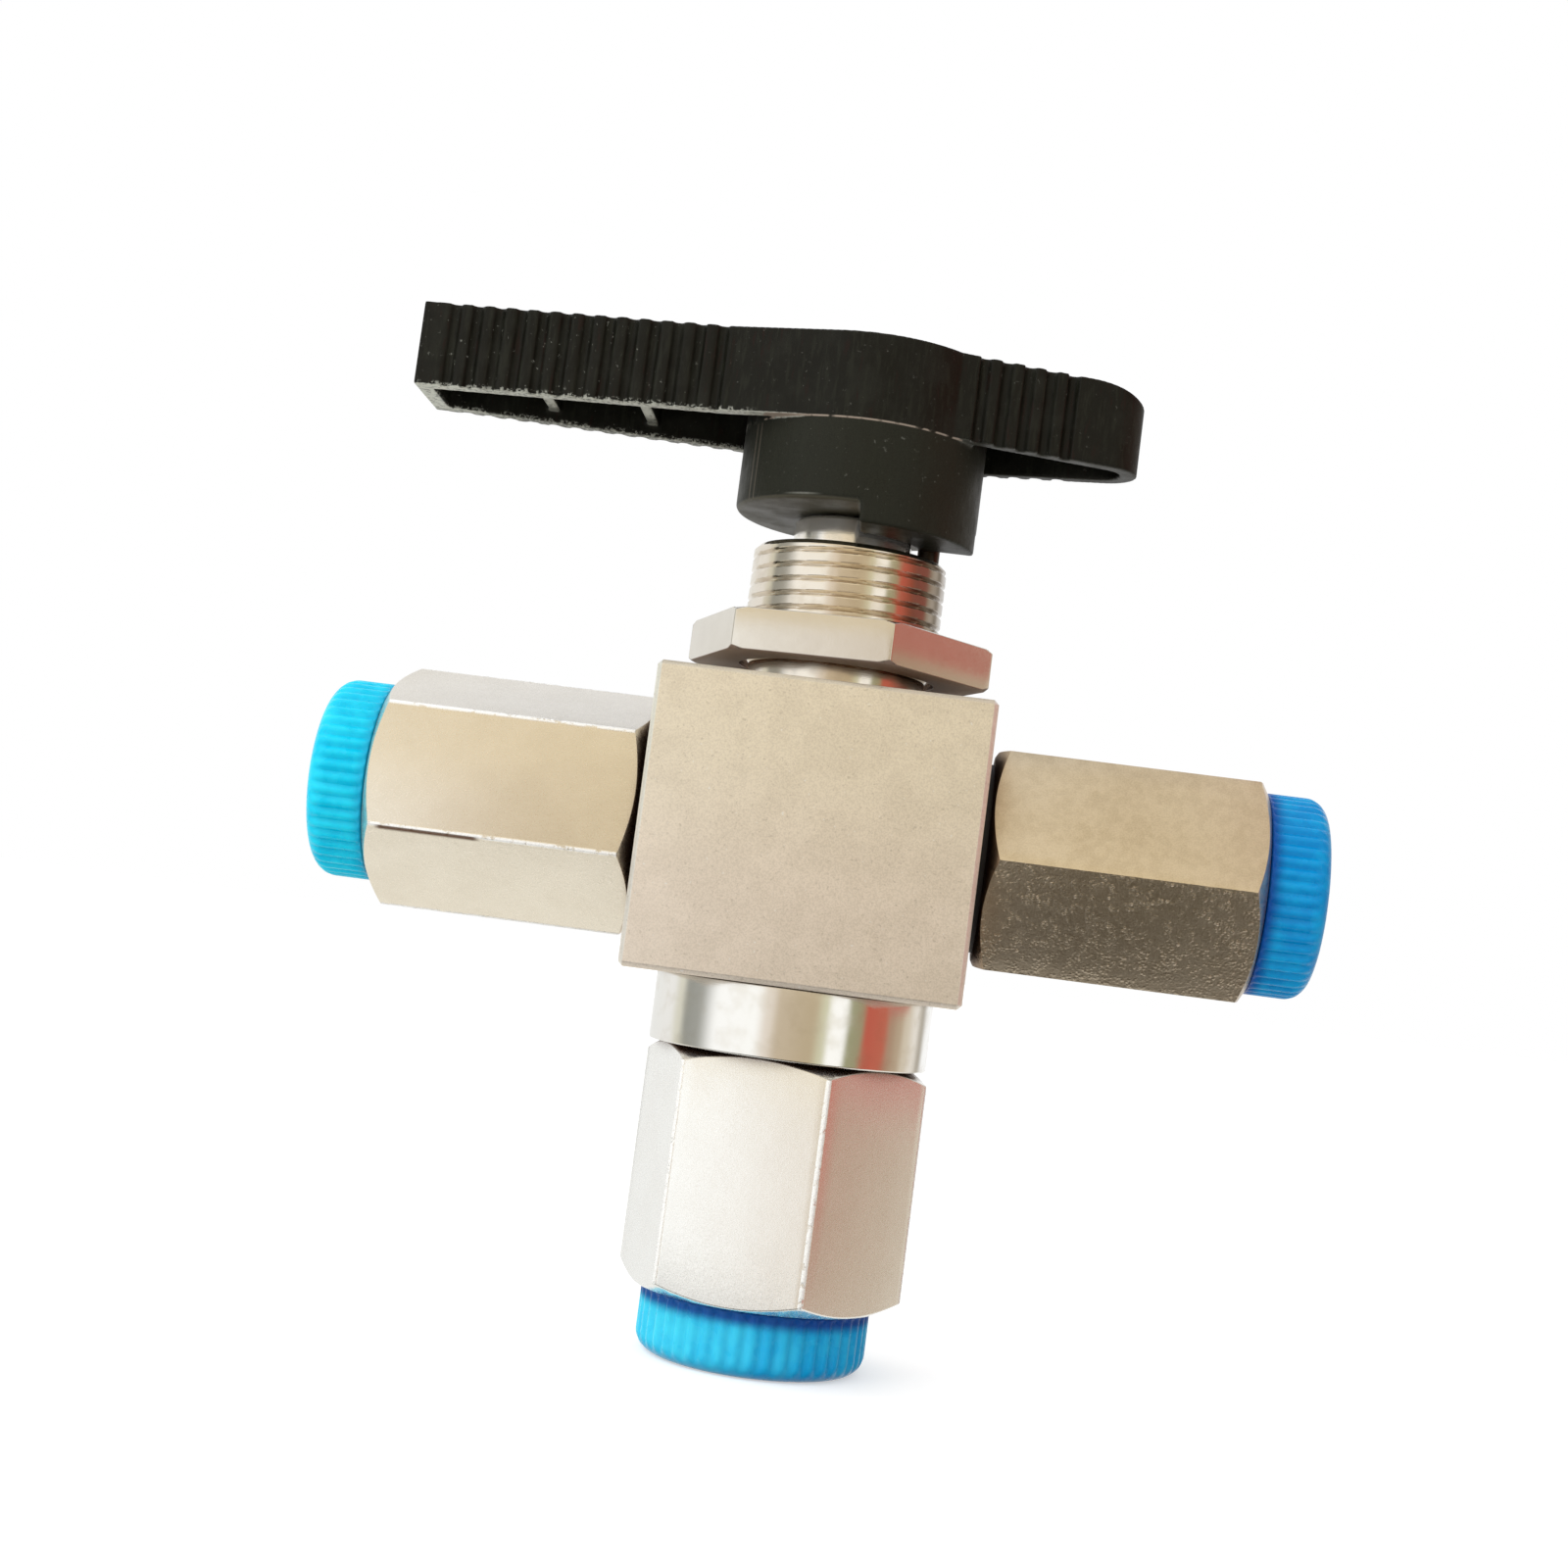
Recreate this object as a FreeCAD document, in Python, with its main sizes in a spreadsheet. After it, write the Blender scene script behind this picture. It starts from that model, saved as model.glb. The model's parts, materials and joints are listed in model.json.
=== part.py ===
"""Three-way ball valve with a side outlet left and right and a common port below.

A block body carries three screwed end connectors, each with a ball seat inside and a
push-in dust cap outside. The stem rises through a packing chamber in the threaded
neck, which also takes the panel nut, and a moulded lever handle turns the ball.

Frame: millimetres, +Z up the stem, +X along the run of the two side ports. The origin
is on the stem axis in the top face of the block, where a panel would lie.
"""
import FreeCAD, Part
import math
import os
import re
import Sketcher

Vector = FreeCAD.Vector
Rotation = FreeCAD.Rotation
Placement = FreeCAD.Placement

SIZES = {
    # Block
    "body_length": 28.9,
    "body_depth": 26.0,
    "body_height": 26.0,
    "port_drop": 12.7,
    "body_edge": 0.4,
    # Threaded neck, smooth just above the block
    "neck_radius": 8.73,
    "neck_height": 12.6,
    "relief_radius": 7.95,
    "relief_height": 2.4,
    "neck_bevel": 0.6,
    # Panel nut on the neck
    "nut_inset": 1.0,
    "nut_height": 3.7,
    "nut_gap": 1.9,
    "nut_turn": 21.0,
    "nut_bevel": 0.3,
    "thread_gap": 0.05,
    # Ball, flow way and seats
    "ball_radius": 6.5,
    "flow_radius": 2.4,
    "ball_gap": 0.03,
    "cavity_gap": 0.45,
    "bottom_cavity_gap": 0.25,
    "seat_clear": 0.1,
    "seat_recess": 1.0,
    "fit_gap": 0.05,
    # Stem, from the tang in the ball up to the square in the handle
    "stem_radius": 3.2,
    "stem_square": 4.4,
    "shoulder_radius": 4.2,
    "shoulder_height": 1.5,
    "tang_width": 2.6,
    "slot_depth": 1.6,
    "stem_gap": 0.05,
    "washer_height": 0.8,
    "web_height": 1.6,
    # Packing stack in the neck
    "chamber_radius": 5.4,
    "packing_height": 2.2,
    "packing_vee": 0.8,
    "gland_height": 1.6,
    "spring_wall": 0.5,
    "spring_dish": 0.3,
    "bolt_stand": 2.9,
    "bolt_bevel": 0.3,
    "bolt_slot_width": 1.6,
    "bolt_slot_depth": 1.0,
    # Stop pins in the top of the neck
    "pin_radius": 1.0,
    "pin_offset": 6.9,
    "pin_depth": 3.5,
    "pin_gap": 0.3,
    # Side connectors
    "side_across": 19.05,
    "side_gap": 0.6,
    "side_hex_length": 23.75,
    "side_mouth": 6.0,
    "side_depth": 14.0,
    "side_seal_radius": 8.4,
    "left_turn": -22.0,
    "right_turn": 2.2,
    # Bottom connector
    "bottom_across": 22.2,
    "collar_radius": 12.35,
    "collar_length": 6.1,
    "bottom_hex_length": 21.0,
    "bottom_thread_radius": 9.5,
    "bottom_step": 2.0,
    "bottom_mouth": 7.45,
    "bottom_depth": 15.0,
    "bottom_seal_width": 1.2,
    "bottom_seal_height": 0.8,
    "bottom_turn": -20.0,
    # Both kinds of connector
    "hex_bevel": 1.1,
    "mouth_bevel": 0.9,
    "pipe_taper": 0.03125,
    # Dust caps
    "cap_gap": 0.1,
    "plug_gap": 0.06,
    "plug_length": 6.5,
    "cap_wall": 1.5,
    "cap_collar_length": 1.1,
    "plug_edge": 0.7,
    "cap_edge": 1.7,
    "cap_dish_depth": 1.0,
    "cap_dish_margin": 2.0,
    "knurl_depth": 0.28,
    "side_cap_radius": 8.9,
    "side_cap_collar": 8.7,
    "side_cap_length": 5.4,
    "side_knurls": 50,
    "bottom_cap_radius": 10.1,
    "bottom_cap_collar": 9.9,
    "bottom_cap_length": 5.8,
    "bottom_knurls": 46,
    # Handle
    "hub_radius": 10.9,
    "hub_gap": 0.2,
    "hub_height": 7.2,
    "hub_edge": 0.5,
    "handle_height": 7.6,
    "handle_wall": 1.5,
    "handle_roof": 1.8,
    "stem_cover": 2.0,
    "arm_length": 40.7,
    "arm_end_half": 4.8,
    "arm_root": 12.0,
    "arm_root_half": 8.0,
    "flare_turn": 14.5,
    "tail_root": 8.0,
    "tail_root_half": 7.5,
    "tail_length": 24.5,
    "tail_tip_radius": 3.5,
    "rib_wall": 1.1,
    "rib_step": 1.2,
    "rib_first": 11.2,
    "rib_pitch": 9.2,
    "groove_radius": 0.5,
    "groove_pitch": 2.05,
    "arm_groove_margin": 3.0,
    "arm_grooves": 13,
    "tail_groove_margin": 1.9,
    "tail_grooves": 5,
    # Travel stop under the hub
    "skirt_drop": 1.7,
    "skirt_bore": 5.8,
    "skirt_inset": 0.75,
    "stop_gap": 0.3,
    # Handle set screw, in the back of the hub
    "screw_radius": 1.5,
    "screw_rise": 3.4,
    "screw_recess": 1.0,
    "screw_socket": 1.5,
    "screw_socket_depth": 1.6,
}

# Heights and radii that follow from the sizes above
PLACES = {
    "run_level": "-port_drop",
    "body_half": "body_length / 2",
    "bottom_reach": "body_height - port_drop",
    "nut_across": "body_depth - 2 * nut_inset",
    "bore_radius": "ball_radius + cavity_gap",
    "bottom_bore_radius": "ball_radius + bottom_cavity_gap",
    "nose_start": "bore_radius + fit_gap",
    "seat_radius": "ball_radius * sin(45) - seat_clear",
    "seat_front": "sqrt(ball_radius ^ 2 - seat_radius ^ 2)",
    "seat_back": "nose_start + seat_recess",
    "bottom_thread_top": "nose_start + bottom_step",
    "stem_bore": "stem_radius + stem_gap",
    "shoulder_level": "run_level + ball_radius + stem_gap",
    "shoulder_top": "shoulder_level + shoulder_height",
    "pocket_top": "shoulder_top + stem_gap + washer_height",
    "chamber_floor": "pocket_top + web_height",
    "vee_level": "chamber_floor + packing_height",
    "packing_top": "vee_level + packing_height",
    "gland_top": "packing_top + gland_height",
    "spring_height": "spring_wall + spring_dish",
    "bolt_bottom": "gland_top + 2 * spring_height",
    "bolt_top": "neck_height + bolt_stand",
    "pin_side": "pin_radius + stop_gap - skirt_inset",
    "pin_reach": "sqrt(pin_offset ^ 2 - pin_side ^ 2)",
    "hub_bottom": "bolt_top + hub_gap",
    "handle_bottom": "hub_bottom + hub_height",
    "handle_top": "handle_bottom + handle_height",
    "skirt_bottom": "hub_bottom - skirt_drop",
    "stem_top": "handle_top - stem_cover",
    "side_hex_start": "body_half + side_gap",
    "side_face": "side_hex_start + side_hex_length",
    "bottom_hex_start": "bottom_reach + collar_length",
    "bottom_face": "bottom_hex_start + bottom_hex_length",
    "arm_slope": "(arm_root_half - arm_end_half) / (arm_length - arm_root)",
    "tip_centre": "tail_length - tail_tip_radius",
    "tail_angle": "atan((tail_root_half - tail_tip_radius) / (tip_centre - tail_root))",
    "tail_slope": "tan(tail_angle)",
    "screw_level": "hub_bottom + screw_rise",
}

PIN_PLACES = {"right": ("pin_reach", "pin_side"), "back": ("pin_side", "pin_reach")}

volumes = {}

doc = FreeCAD.newDocument("ThreeWayBallValve")
sheet = doc.addObject("Spreadsheet::Sheet", "Sizes")
for row, (alias, number) in enumerate(SIZES.items(), start=1):
    sheet.set(f"A{row}", alias)
    sheet.set(f"B{row}", str(number))
    sheet.setAlias(f"B{row}", alias)
doc.recompute()


def expression(text):
    """Write a formula in size and place names as one in cells of the sheet."""

    def swap(match):
        word = match.group()
        if word in PLACES:
            return "(" + expression(PLACES[word]) + ")"
        return "Sizes." + word if word in SIZES else word

    return re.sub(r"[a-z][a-z_]*", swap, str(text))


def value(text):
    """Work a formula out as a number."""
    return float(sheet.evalExpression(expression(text)))


def bind(item, name, text):
    """Tie a property to a formula, so that it follows the sheet."""
    item.setExpression(name, expression(text))


def new_body(name):
    """Start a piece as an empty body with its own node name."""
    body = doc.addObject("PartDesign::Body", name)
    body.Label = name
    volumes[name] = 0.0
    return body


def plane_of(body, role):
    """Find one of the three origin planes of a body."""
    return next(item for item in body.Origin.OriginFeatures if item.Role == role)


def new_sketch(body, name, role, height="0", turn="0", place=("0", "0")):
    """Lay a sketch on an origin plane, raised along its normal and turned about it."""
    sketch = body.newObject("Sketcher::SketchObject", name)
    sketch.AttachmentSupport = [(plane_of(body, role), "")]
    sketch.MapMode = "FlatFace"
    centre = Vector(value(place[0]), value(place[1]), value(height))
    sketch.AttachmentOffset = Placement(centre, Rotation(Vector(0, 0, 1), value(turn)))
    bind(sketch, "AttachmentOffset.Base.x", place[0])
    bind(sketch, "AttachmentOffset.Base.y", place[1])
    bind(sketch, "AttachmentOffset.Base.z", height)
    if turn != "0":
        bind(sketch, "AttachmentOffset.Rotation.Angle", turn)
    return sketch


def fix_point(sketch, geometry, point, name, place):
    """Hold a point of a sketch at two formulas from the sketch's origin."""
    for kind, text in zip(("DistanceX", "DistanceY"), place):
        number = sketch.addConstraint(
            Sketcher.Constraint(kind, -1, 1, geometry, point, value(text))
        )
        sketch.renameConstraint(number, name + kind[-1].lower())
        bind(sketch, "Constraints." + name + kind[-1].lower(), text)


def draw_outline(sketch, corners):
    """Draw a closed outline of straight edges through corners given as formulas."""
    points = [Vector(value(x), value(y), 0) for x, y in corners]
    for number, point in enumerate(points):
        following = points[(number + 1) % len(points)]
        sketch.addGeometry(Part.LineSegment(point, following), False)
    for number, corner in enumerate(corners):
        before = (number - 1) % len(corners)
        sketch.addConstraint(Sketcher.Constraint("Coincident", before, 2, number, 1))
        fix_point(sketch, number, 1, f"corner{number}", corner)


def draw_circle(sketch, radius, centre=("0", "0")):
    """Draw a full circle whose radius and centre are formulas."""
    middle = Vector(value(centre[0]), value(centre[1]), 0)
    circle = Part.Circle(middle, Vector(0, 0, 1), value(radius))
    number = sketch.addGeometry(circle, False)
    held = sketch.addConstraint(Sketcher.Constraint("Radius", number, value(radius)))
    sketch.renameConstraint(held, f"radius{number}")
    bind(sketch, f"Constraints.radius{number}", radius)
    fix_point(sketch, number, 3, f"centre{number}", centre)


def hexagon(across, turn):
    """Corners of a hexagon whose first flat faces the angle turn."""
    corner = f"({across}) / 2 / cos(30)"
    angles = [f"{turn} + {30 + 60 * number}" for number in range(6)]
    return [(f"{corner} * cos({angle})", f"{corner} * sin({angle})") for angle in angles]


def rectangle(left, right, near, far):
    """Corners of a rectangle with its sides along the sketch's axes."""
    return [(left, near), (right, near), (right, far), (left, far)]


def spin(body, kind, name, corners):
    """Revolve an outline of radius and height, as a solid or as a cut."""
    sketch = new_sketch(body, name + "_outline", "XZ_Plane")
    draw_outline(sketch, corners)
    feature = body.newObject("PartDesign::" + kind, name)
    feature.Profile = sketch
    feature.ReferenceAxis = (sketch, ["V_Axis"])
    feature.Angle = 360.0
    return settle(body, feature, adds=kind == "Revolution")


def extrude(body, kind, name, sketch, length, up=True, both=False):
    """Pad or pocket a sketch by a length, up or down its normal, or both ways."""
    feature = body.newObject("PartDesign::" + kind, name)
    feature.Profile = sketch
    feature.Length = value(length)
    bind(feature, "Length", length)
    feature.Midplane = both
    feature.Reversed = (not up) if kind == "Pad" else up
    return settle(body, feature, adds=kind == "Pad")


def settle(body, feature, adds):
    """Recompute a feature and make sure that it added or removed material."""
    doc.recompute()
    change = feature.Shape.Volume - volumes[body.Label]
    if change * (1 if adds else -1) <= 0:
        raise ValueError(f"{body.Label}: {feature.Name} changes the volume by {change:.4f}")
    volumes[body.Label] = feature.Shape.Volume
    return feature


def dress(body, kind, name, size, test):
    """Round or bevel every edge of the body's tip that passes a test."""
    tip = body.Tip
    chosen = [f"Edge{n}" for n, edge in enumerate(tip.Shape.Edges, start=1) if test(edge)]
    feature = body.newObject("PartDesign::" + kind, name)
    feature.Base = (tip, chosen)
    bind(feature, "Radius" if kind == "Fillet" else "Size", size)
    return settle(body, feature, adds=False)


def repeat_around(body, name, original, count):
    """Repeat a cut all the way round the body's vertical axis."""
    axis = next(item for item in body.Origin.OriginFeatures if item.Role == "Z_Axis")
    pattern = body.newObject("PartDesign::PolarPattern", name)
    pattern.Originals = [original]
    pattern.Axis = (axis, [""])
    pattern.Angle = 360.0
    bind(pattern, "Occurrences", count)
    body.Tip = pattern
    return settle(body, pattern, adds=False)


def repeat_along(body, name, original, sketch, pitch, count):
    """Repeat a cut along the horizontal axis of its own sketch."""
    pattern = body.newObject("PartDesign::LinearPattern", name)
    pattern.Originals = [original]
    pattern.Direction = (sketch, ["H_Axis"])
    bind(pattern, "Length", f"{pitch} * ({count} - 1)")
    bind(pattern, "Occurrences", count)
    body.Tip = pattern
    return settle(body, pattern, adds=False)


def is_level_edge(edge, level):
    """Tell whether the whole of an edge lies at one height."""
    box = edge.BoundBox
    return abs(box.ZMin - level) < 0.001 and abs(box.ZMax - level) < 0.001


def ring(name, inner, outer, bottom, top):
    """Turn a plain ring between two radii and two heights."""
    body = new_body(name)
    spin(body, "Revolution", "ring", rectangle(inner, outer, bottom, top))
    return body


def bevel_hexagon(body, name, across, end, inward, bevel):
    """Turn a 30 degree bevel of a given height on the corners at one end of a hexagon."""
    corner = f"{across} / 2 / cos(30)"
    reach = f"{bevel} / tan(30)"
    inner, outer = f"{corner} - {reach}", f"{corner} + {reach}"
    spin(body, "Groove", name, [
        (inner, end),
        (outer, f"{end} + {inward} * 2 * {bevel}"),
        (outer, f"{end} - {inward} * {bevel}"),
        (inner, f"{end} - {inward} * {bevel}"),
    ])


def make_body_block():
    """Block with its turned neck, the run bore, the bottom bore and the stem way."""
    body = new_body("body_block")
    sketch = new_sketch(body, "block_outline", "XY_Plane")
    half_depth = "body_depth / 2"
    draw_outline(sketch, rectangle("-body_half", "body_half", "-" + half_depth, half_depth))
    extrude(body, "Pad", "block", sketch, "body_height", up=False)
    dress(body, "Chamfer", "block_edges", "body_edge", lambda edge: True)

    spin(body, "Revolution", "neck", [
        ("0", "-port_drop / 4"),
        ("relief_radius", "-port_drop / 4"),
        ("relief_radius", "relief_height - neck_bevel"),
        ("neck_radius", "relief_height"),
        ("neck_radius", "neck_height - neck_bevel"),
        ("neck_radius - neck_bevel", "neck_height"),
        ("0", "neck_height"),
    ])

    sketch = new_sketch(body, "run_bore_outline", "YZ_Plane")
    draw_circle(sketch, "bore_radius", ("0", "run_level"))
    extrude(body, "Pocket", "run_bore", sketch, "body_length * 2", both=True)

    spin(body, "Groove", "bottom_bore", [
        ("0", "run_level"),
        ("bottom_bore_radius", "run_level"),
        ("bottom_bore_radius", "run_level - bottom_thread_top"),
        ("bottom_thread_radius + fit_gap", "run_level - bottom_thread_top"),
        ("bottom_thread_radius + fit_gap", "-body_height - body_edge"),
        ("0", "-body_height - body_edge"),
    ])

    spin(body, "Groove", "stem_way", [
        ("0", "run_level"),
        ("shoulder_radius + fit_gap", "run_level"),
        ("shoulder_radius + fit_gap", "pocket_top"),
        ("stem_bore", "pocket_top"),
        ("stem_bore", "chamber_floor"),
        ("chamber_radius", "chamber_floor"),
        ("chamber_radius", "neck_height + neck_bevel"),
        ("0", "neck_height + neck_bevel"),
    ])

    for side, place in PIN_PLACES.items():
        sketch = new_sketch(body, side + "_pin_hole_outline", "XY_Plane", "neck_height")
        draw_circle(sketch, "pin_radius", place)
        extrude(body, "Pocket", side + "_pin_hole", sketch, "pin_depth", up=False)


def make_panel_nut():
    """Thin hexagon nut that clamps a panel against the block."""
    body = new_body("panel_nut")
    sketch = new_sketch(body, "nut_outline", "XY_Plane", "nut_gap")
    draw_outline(sketch, hexagon("nut_across", "nut_turn"))
    draw_circle(sketch, "neck_radius + thread_gap")
    extrude(body, "Pad", "nut", sketch, "nut_height")
    bevel_hexagon(body, "upper_bevel", "nut_across", "nut_gap + nut_height", "-1", "nut_bevel")
    bevel_hexagon(body, "lower_bevel", "nut_across", "nut_gap", "1", "nut_bevel")


def make_packing():
    """Rings that seal the stem, and what loads them."""
    ring("stem_washer", "stem_bore", "shoulder_radius", "shoulder_top + stem_gap", "pocket_top")

    middle = "(stem_bore + chamber_radius) / 2"
    lower = new_body("lower_packing")
    spin(lower, "Revolution", "ring", [
        ("stem_bore", "chamber_floor"),
        ("chamber_radius", "chamber_floor"),
        ("chamber_radius", "vee_level"),
        (middle, "vee_level - packing_vee"),
        ("stem_bore", "vee_level"),
    ])
    upper = new_body("upper_packing")
    spin(upper, "Revolution", "ring", [
        ("stem_bore", "vee_level"),
        (middle, "vee_level - packing_vee"),
        ("chamber_radius", "vee_level"),
        ("chamber_radius", "packing_top"),
        ("stem_bore", "packing_top"),
    ])
    ring("gland", "stem_bore", "chamber_radius - fit_gap", "packing_top", "gland_top")

    inner = "stem_bore"
    outer = "chamber_radius - fit_gap"
    lower_spring = new_body("lower_disc_spring")
    spin(lower_spring, "Revolution", "disc", [
        (outer, "gland_top"),
        (outer, "gland_top + spring_wall"),
        (inner, "gland_top + spring_height"),
        (inner, "gland_top + spring_dish"),
    ])
    upper_spring = new_body("upper_disc_spring")
    spin(upper_spring, "Revolution", "disc", [
        (inner, "gland_top + spring_height"),
        (outer, "gland_top + spring_height + spring_dish"),
        (outer, "bolt_bottom"),
        (inner, "gland_top + spring_height + spring_wall"),
    ])


def make_packing_bolt():
    """Hollow bolt that presses the packing, with a slot across its top for a key."""
    body = new_body("packing_bolt")
    outer = "chamber_radius - fit_gap"
    spin(body, "Revolution", "bolt", [
        ("stem_bore", "bolt_bottom"),
        (outer, "bolt_bottom"),
        (outer, "bolt_top - bolt_bevel"),
        (f"{outer} - bolt_bevel", "bolt_top"),
        ("stem_bore", "bolt_top"),
    ])
    sketch = new_sketch(body, "slot_outline", "XY_Plane", "bolt_top")
    half = "bolt_slot_width / 2"
    draw_outline(sketch, rectangle("-chamber_radius", "chamber_radius", "-" + half, half))
    extrude(body, "Pocket", "slot", sketch, "bolt_slot_depth", up=False)


def make_stop_pins():
    """Two pins that stand in the top of the neck, one for each end of the handle's travel."""
    for side, place in PIN_PLACES.items():
        body = new_body(side + "_stop_pin")
        sketch = new_sketch(body, "pin_outline", "XY_Plane", "neck_height - pin_depth")
        draw_circle(sketch, "pin_radius", place)
        extrude(body, "Pad", "pin", sketch, "hub_bottom - pin_gap - (neck_height - pin_depth)")


class Port:
    """One way out of the block, built along its own axis from the ball's centre."""

    def __init__(self, side, family, tilt):
        self.side = side
        self.family = family
        self.tilt = tilt

    def sized(self, word):
        """Name of a size that side ports share and the bottom port has of its own."""
        return f"{self.family}_{word}"

    def stand(self, body):
        """Put a finished piece on the run axis and point it along its port."""
        body.Placement = Placement(
            Vector(0, 0, value("run_level")), Rotation(Vector(0, 1, 0), self.tilt)
        )
        bind(body, "Placement.Base.z", "run_level")

    def make_connector(self):
        """End connector: nose in the block, hexagon outside, tapered pipe port within."""
        body = new_body(self.side + "_connector")
        start, face = self.sized("hex_start"), self.sized("face")
        across, turn = self.sized("across"), self.side + "_turn"
        sketch = new_sketch(body, "hexagon_outline", "XY_Plane", start)
        draw_outline(sketch, hexagon(across, turn))
        extrude(body, "Pad", "hexagon", sketch, self.sized("hex_length"))
        bevel_hexagon(body, "outer_bevel", across, face, "-1", "hex_bevel")
        bevel_hexagon(body, "inner_bevel", across, start, "1", "hex_bevel")
        spin(body, "Revolution", "nose", self.nose_outline(start))
        spin(body, "Groove", "flow_way", self.flow_outline(face))
        if self.family == "bottom":
            inner = "bottom_thread_radius + fit_gap"
            outer = inner + " + bottom_seal_width"
            deep = "bottom_reach + bottom_seal_height"
            above = "bottom_reach - fit_gap"
            spin(body, "Groove", "seal_groove", rectangle(inner, outer, above, deep))
        self.stand(body)

    def nose_outline(self, start):
        """Outline of what the connector has inboard of its hexagon."""
        if self.family == "side":
            return rectangle("0", "bore_radius - fit_gap", "nose_start", start + " + hex_bevel")
        nose_radius = "bottom_bore_radius - fit_gap"
        return [
            ("0", "nose_start"),
            (nose_radius, "nose_start"),
            (nose_radius, "bottom_thread_top + fit_gap"),
            ("bottom_thread_radius", "bottom_thread_top + fit_gap"),
            ("bottom_thread_radius", "bottom_reach"),
            ("collar_radius - body_edge", "bottom_reach"),
            ("collar_radius", "bottom_reach + body_edge"),
            ("collar_radius", f"{start} - body_edge"),
            ("collar_radius - body_edge", start),
            ("bottom_across / 2 - hex_bevel", start),
            ("bottom_across / 2 - hex_bevel", start + " + hex_bevel"),
            ("0", start + " + hex_bevel"),
        ]

    def flow_outline(self, face):
        """Outline of the seat recess, the flow bore and the tapered pipe port."""
        mouth, depth = self.sized("mouth"), self.sized("depth")
        floor = f"{face} - {depth}"
        narrow = f"({mouth} - pipe_taper * {depth})"
        return [
            ("0", "nose_start - fit_gap"),
            ("seat_radius + fit_gap", "nose_start - fit_gap"),
            ("seat_radius + fit_gap", "seat_back"),
            ("flow_radius", "seat_back"),
            ("flow_radius", f"{floor} - ({narrow} - flow_radius) * tan(30)"),
            (narrow, floor),
            (mouth, f"{face} - mouth_bevel"),
            (f"{mouth} + mouth_bevel", face),
            (f"{mouth} + mouth_bevel", f"{face} + fit_gap"),
            ("0", f"{face} + fit_gap"),
        ]

    def make_seat(self):
        """Ring that the ball turns against, held in the connector's nose."""
        body = new_body(self.side + "_seat")
        spin(body, "Revolution", "ring", rectangle(
            "flow_radius", "seat_radius", "seat_front", "seat_back"
        ))
        ball = body.newObject("PartDesign::SubtractiveSphere", "ball_face")
        bind(ball, "Radius", "ball_radius + ball_gap")
        settle(body, ball, adds=False)
        self.stand(body)

    def make_seal(self):
        """Ring that seals the connector to the block."""
        if self.family == "side":
            inner, outer = "bore_radius", "side_seal_radius"
            near, far = "body_half", "side_hex_start"
        else:
            inner = "bottom_thread_radius + fit_gap"
            outer = inner + " + bottom_seal_width"
            near, far = "bottom_reach", "bottom_reach + bottom_seal_height"
        self.stand(ring(self.side + "_body_seal", inner, outer, near, far))

    def make_cap(self):
        """Moulded dust cap: a hollow tapered plug under a ribbed head with a dished face."""
        body = new_body(self.side + "_cap")
        face, mouth = self.sized("face"), self.sized("mouth")
        radius, collar = self.sized("cap_radius"), self.sized("cap_collar")
        under = f"({face} + cap_gap)"
        end = f"({face} + {self.sized('cap_length')})"
        tip = f"({face} - plug_length)"
        root = f"({mouth} - plug_gap)"
        spin(body, "Revolution", "shell", [
            ("0", tip),
            (f"{root} - pipe_taper * plug_length - plug_edge", tip),
            (f"{root} - pipe_taper * plug_length", f"{tip} + plug_edge"),
            (root, f"{face} - mouth_bevel"),
            (root, under),
            (collar, under),
            (collar, f"{face} + cap_collar_length"),
            (radius, f"{face} + cap_collar_length"),
            (radius, end),
            ("0", end),
        ])
        dress(body, "Fillet", "rounded_edge", "cap_edge",
              lambda edge: is_level_edge(edge, value(end)))
        hollow = f"{root} - pipe_taper * plug_length - cap_wall"
        spin(body, "Groove", "hollow", [
            ("0", f"{tip} + cap_wall"),
            (hollow, f"{tip} + cap_wall"),
            (hollow, f"{end} - cap_dish_depth"),
            (f"{radius} - cap_dish_margin", f"{end} - cap_dish_depth"),
            (f"{radius} - cap_dish_margin", f"{end} + cap_edge"),
            ("0", f"{end} + cap_edge"),
        ])
        self.cut_knurls(body, radius, face, end)
        self.stand(body)

    def cut_knurls(self, body, radius, face, end):
        """Cut the straight finger ribs round the head of the cap."""
        sketch = new_sketch(body, "knurl_outline", "XY_Plane", f"{face} + cap_collar_length")
        half = "knurl_depth * tan(50)"
        beyond = f"{radius} + knurl_depth"
        draw_outline(sketch, [
            (f"{radius} - knurl_depth", "0"),
            (beyond, f"-2 * {half}"),
            (beyond, f"2 * {half}"),
        ])
        depth = f"{end} - cap_edge - ({face} + cap_collar_length)"
        notch = extrude(body, "Pocket", "knurl", sketch, depth)
        repeat_around(body, "knurls", notch, self.sized("knurls"))


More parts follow.
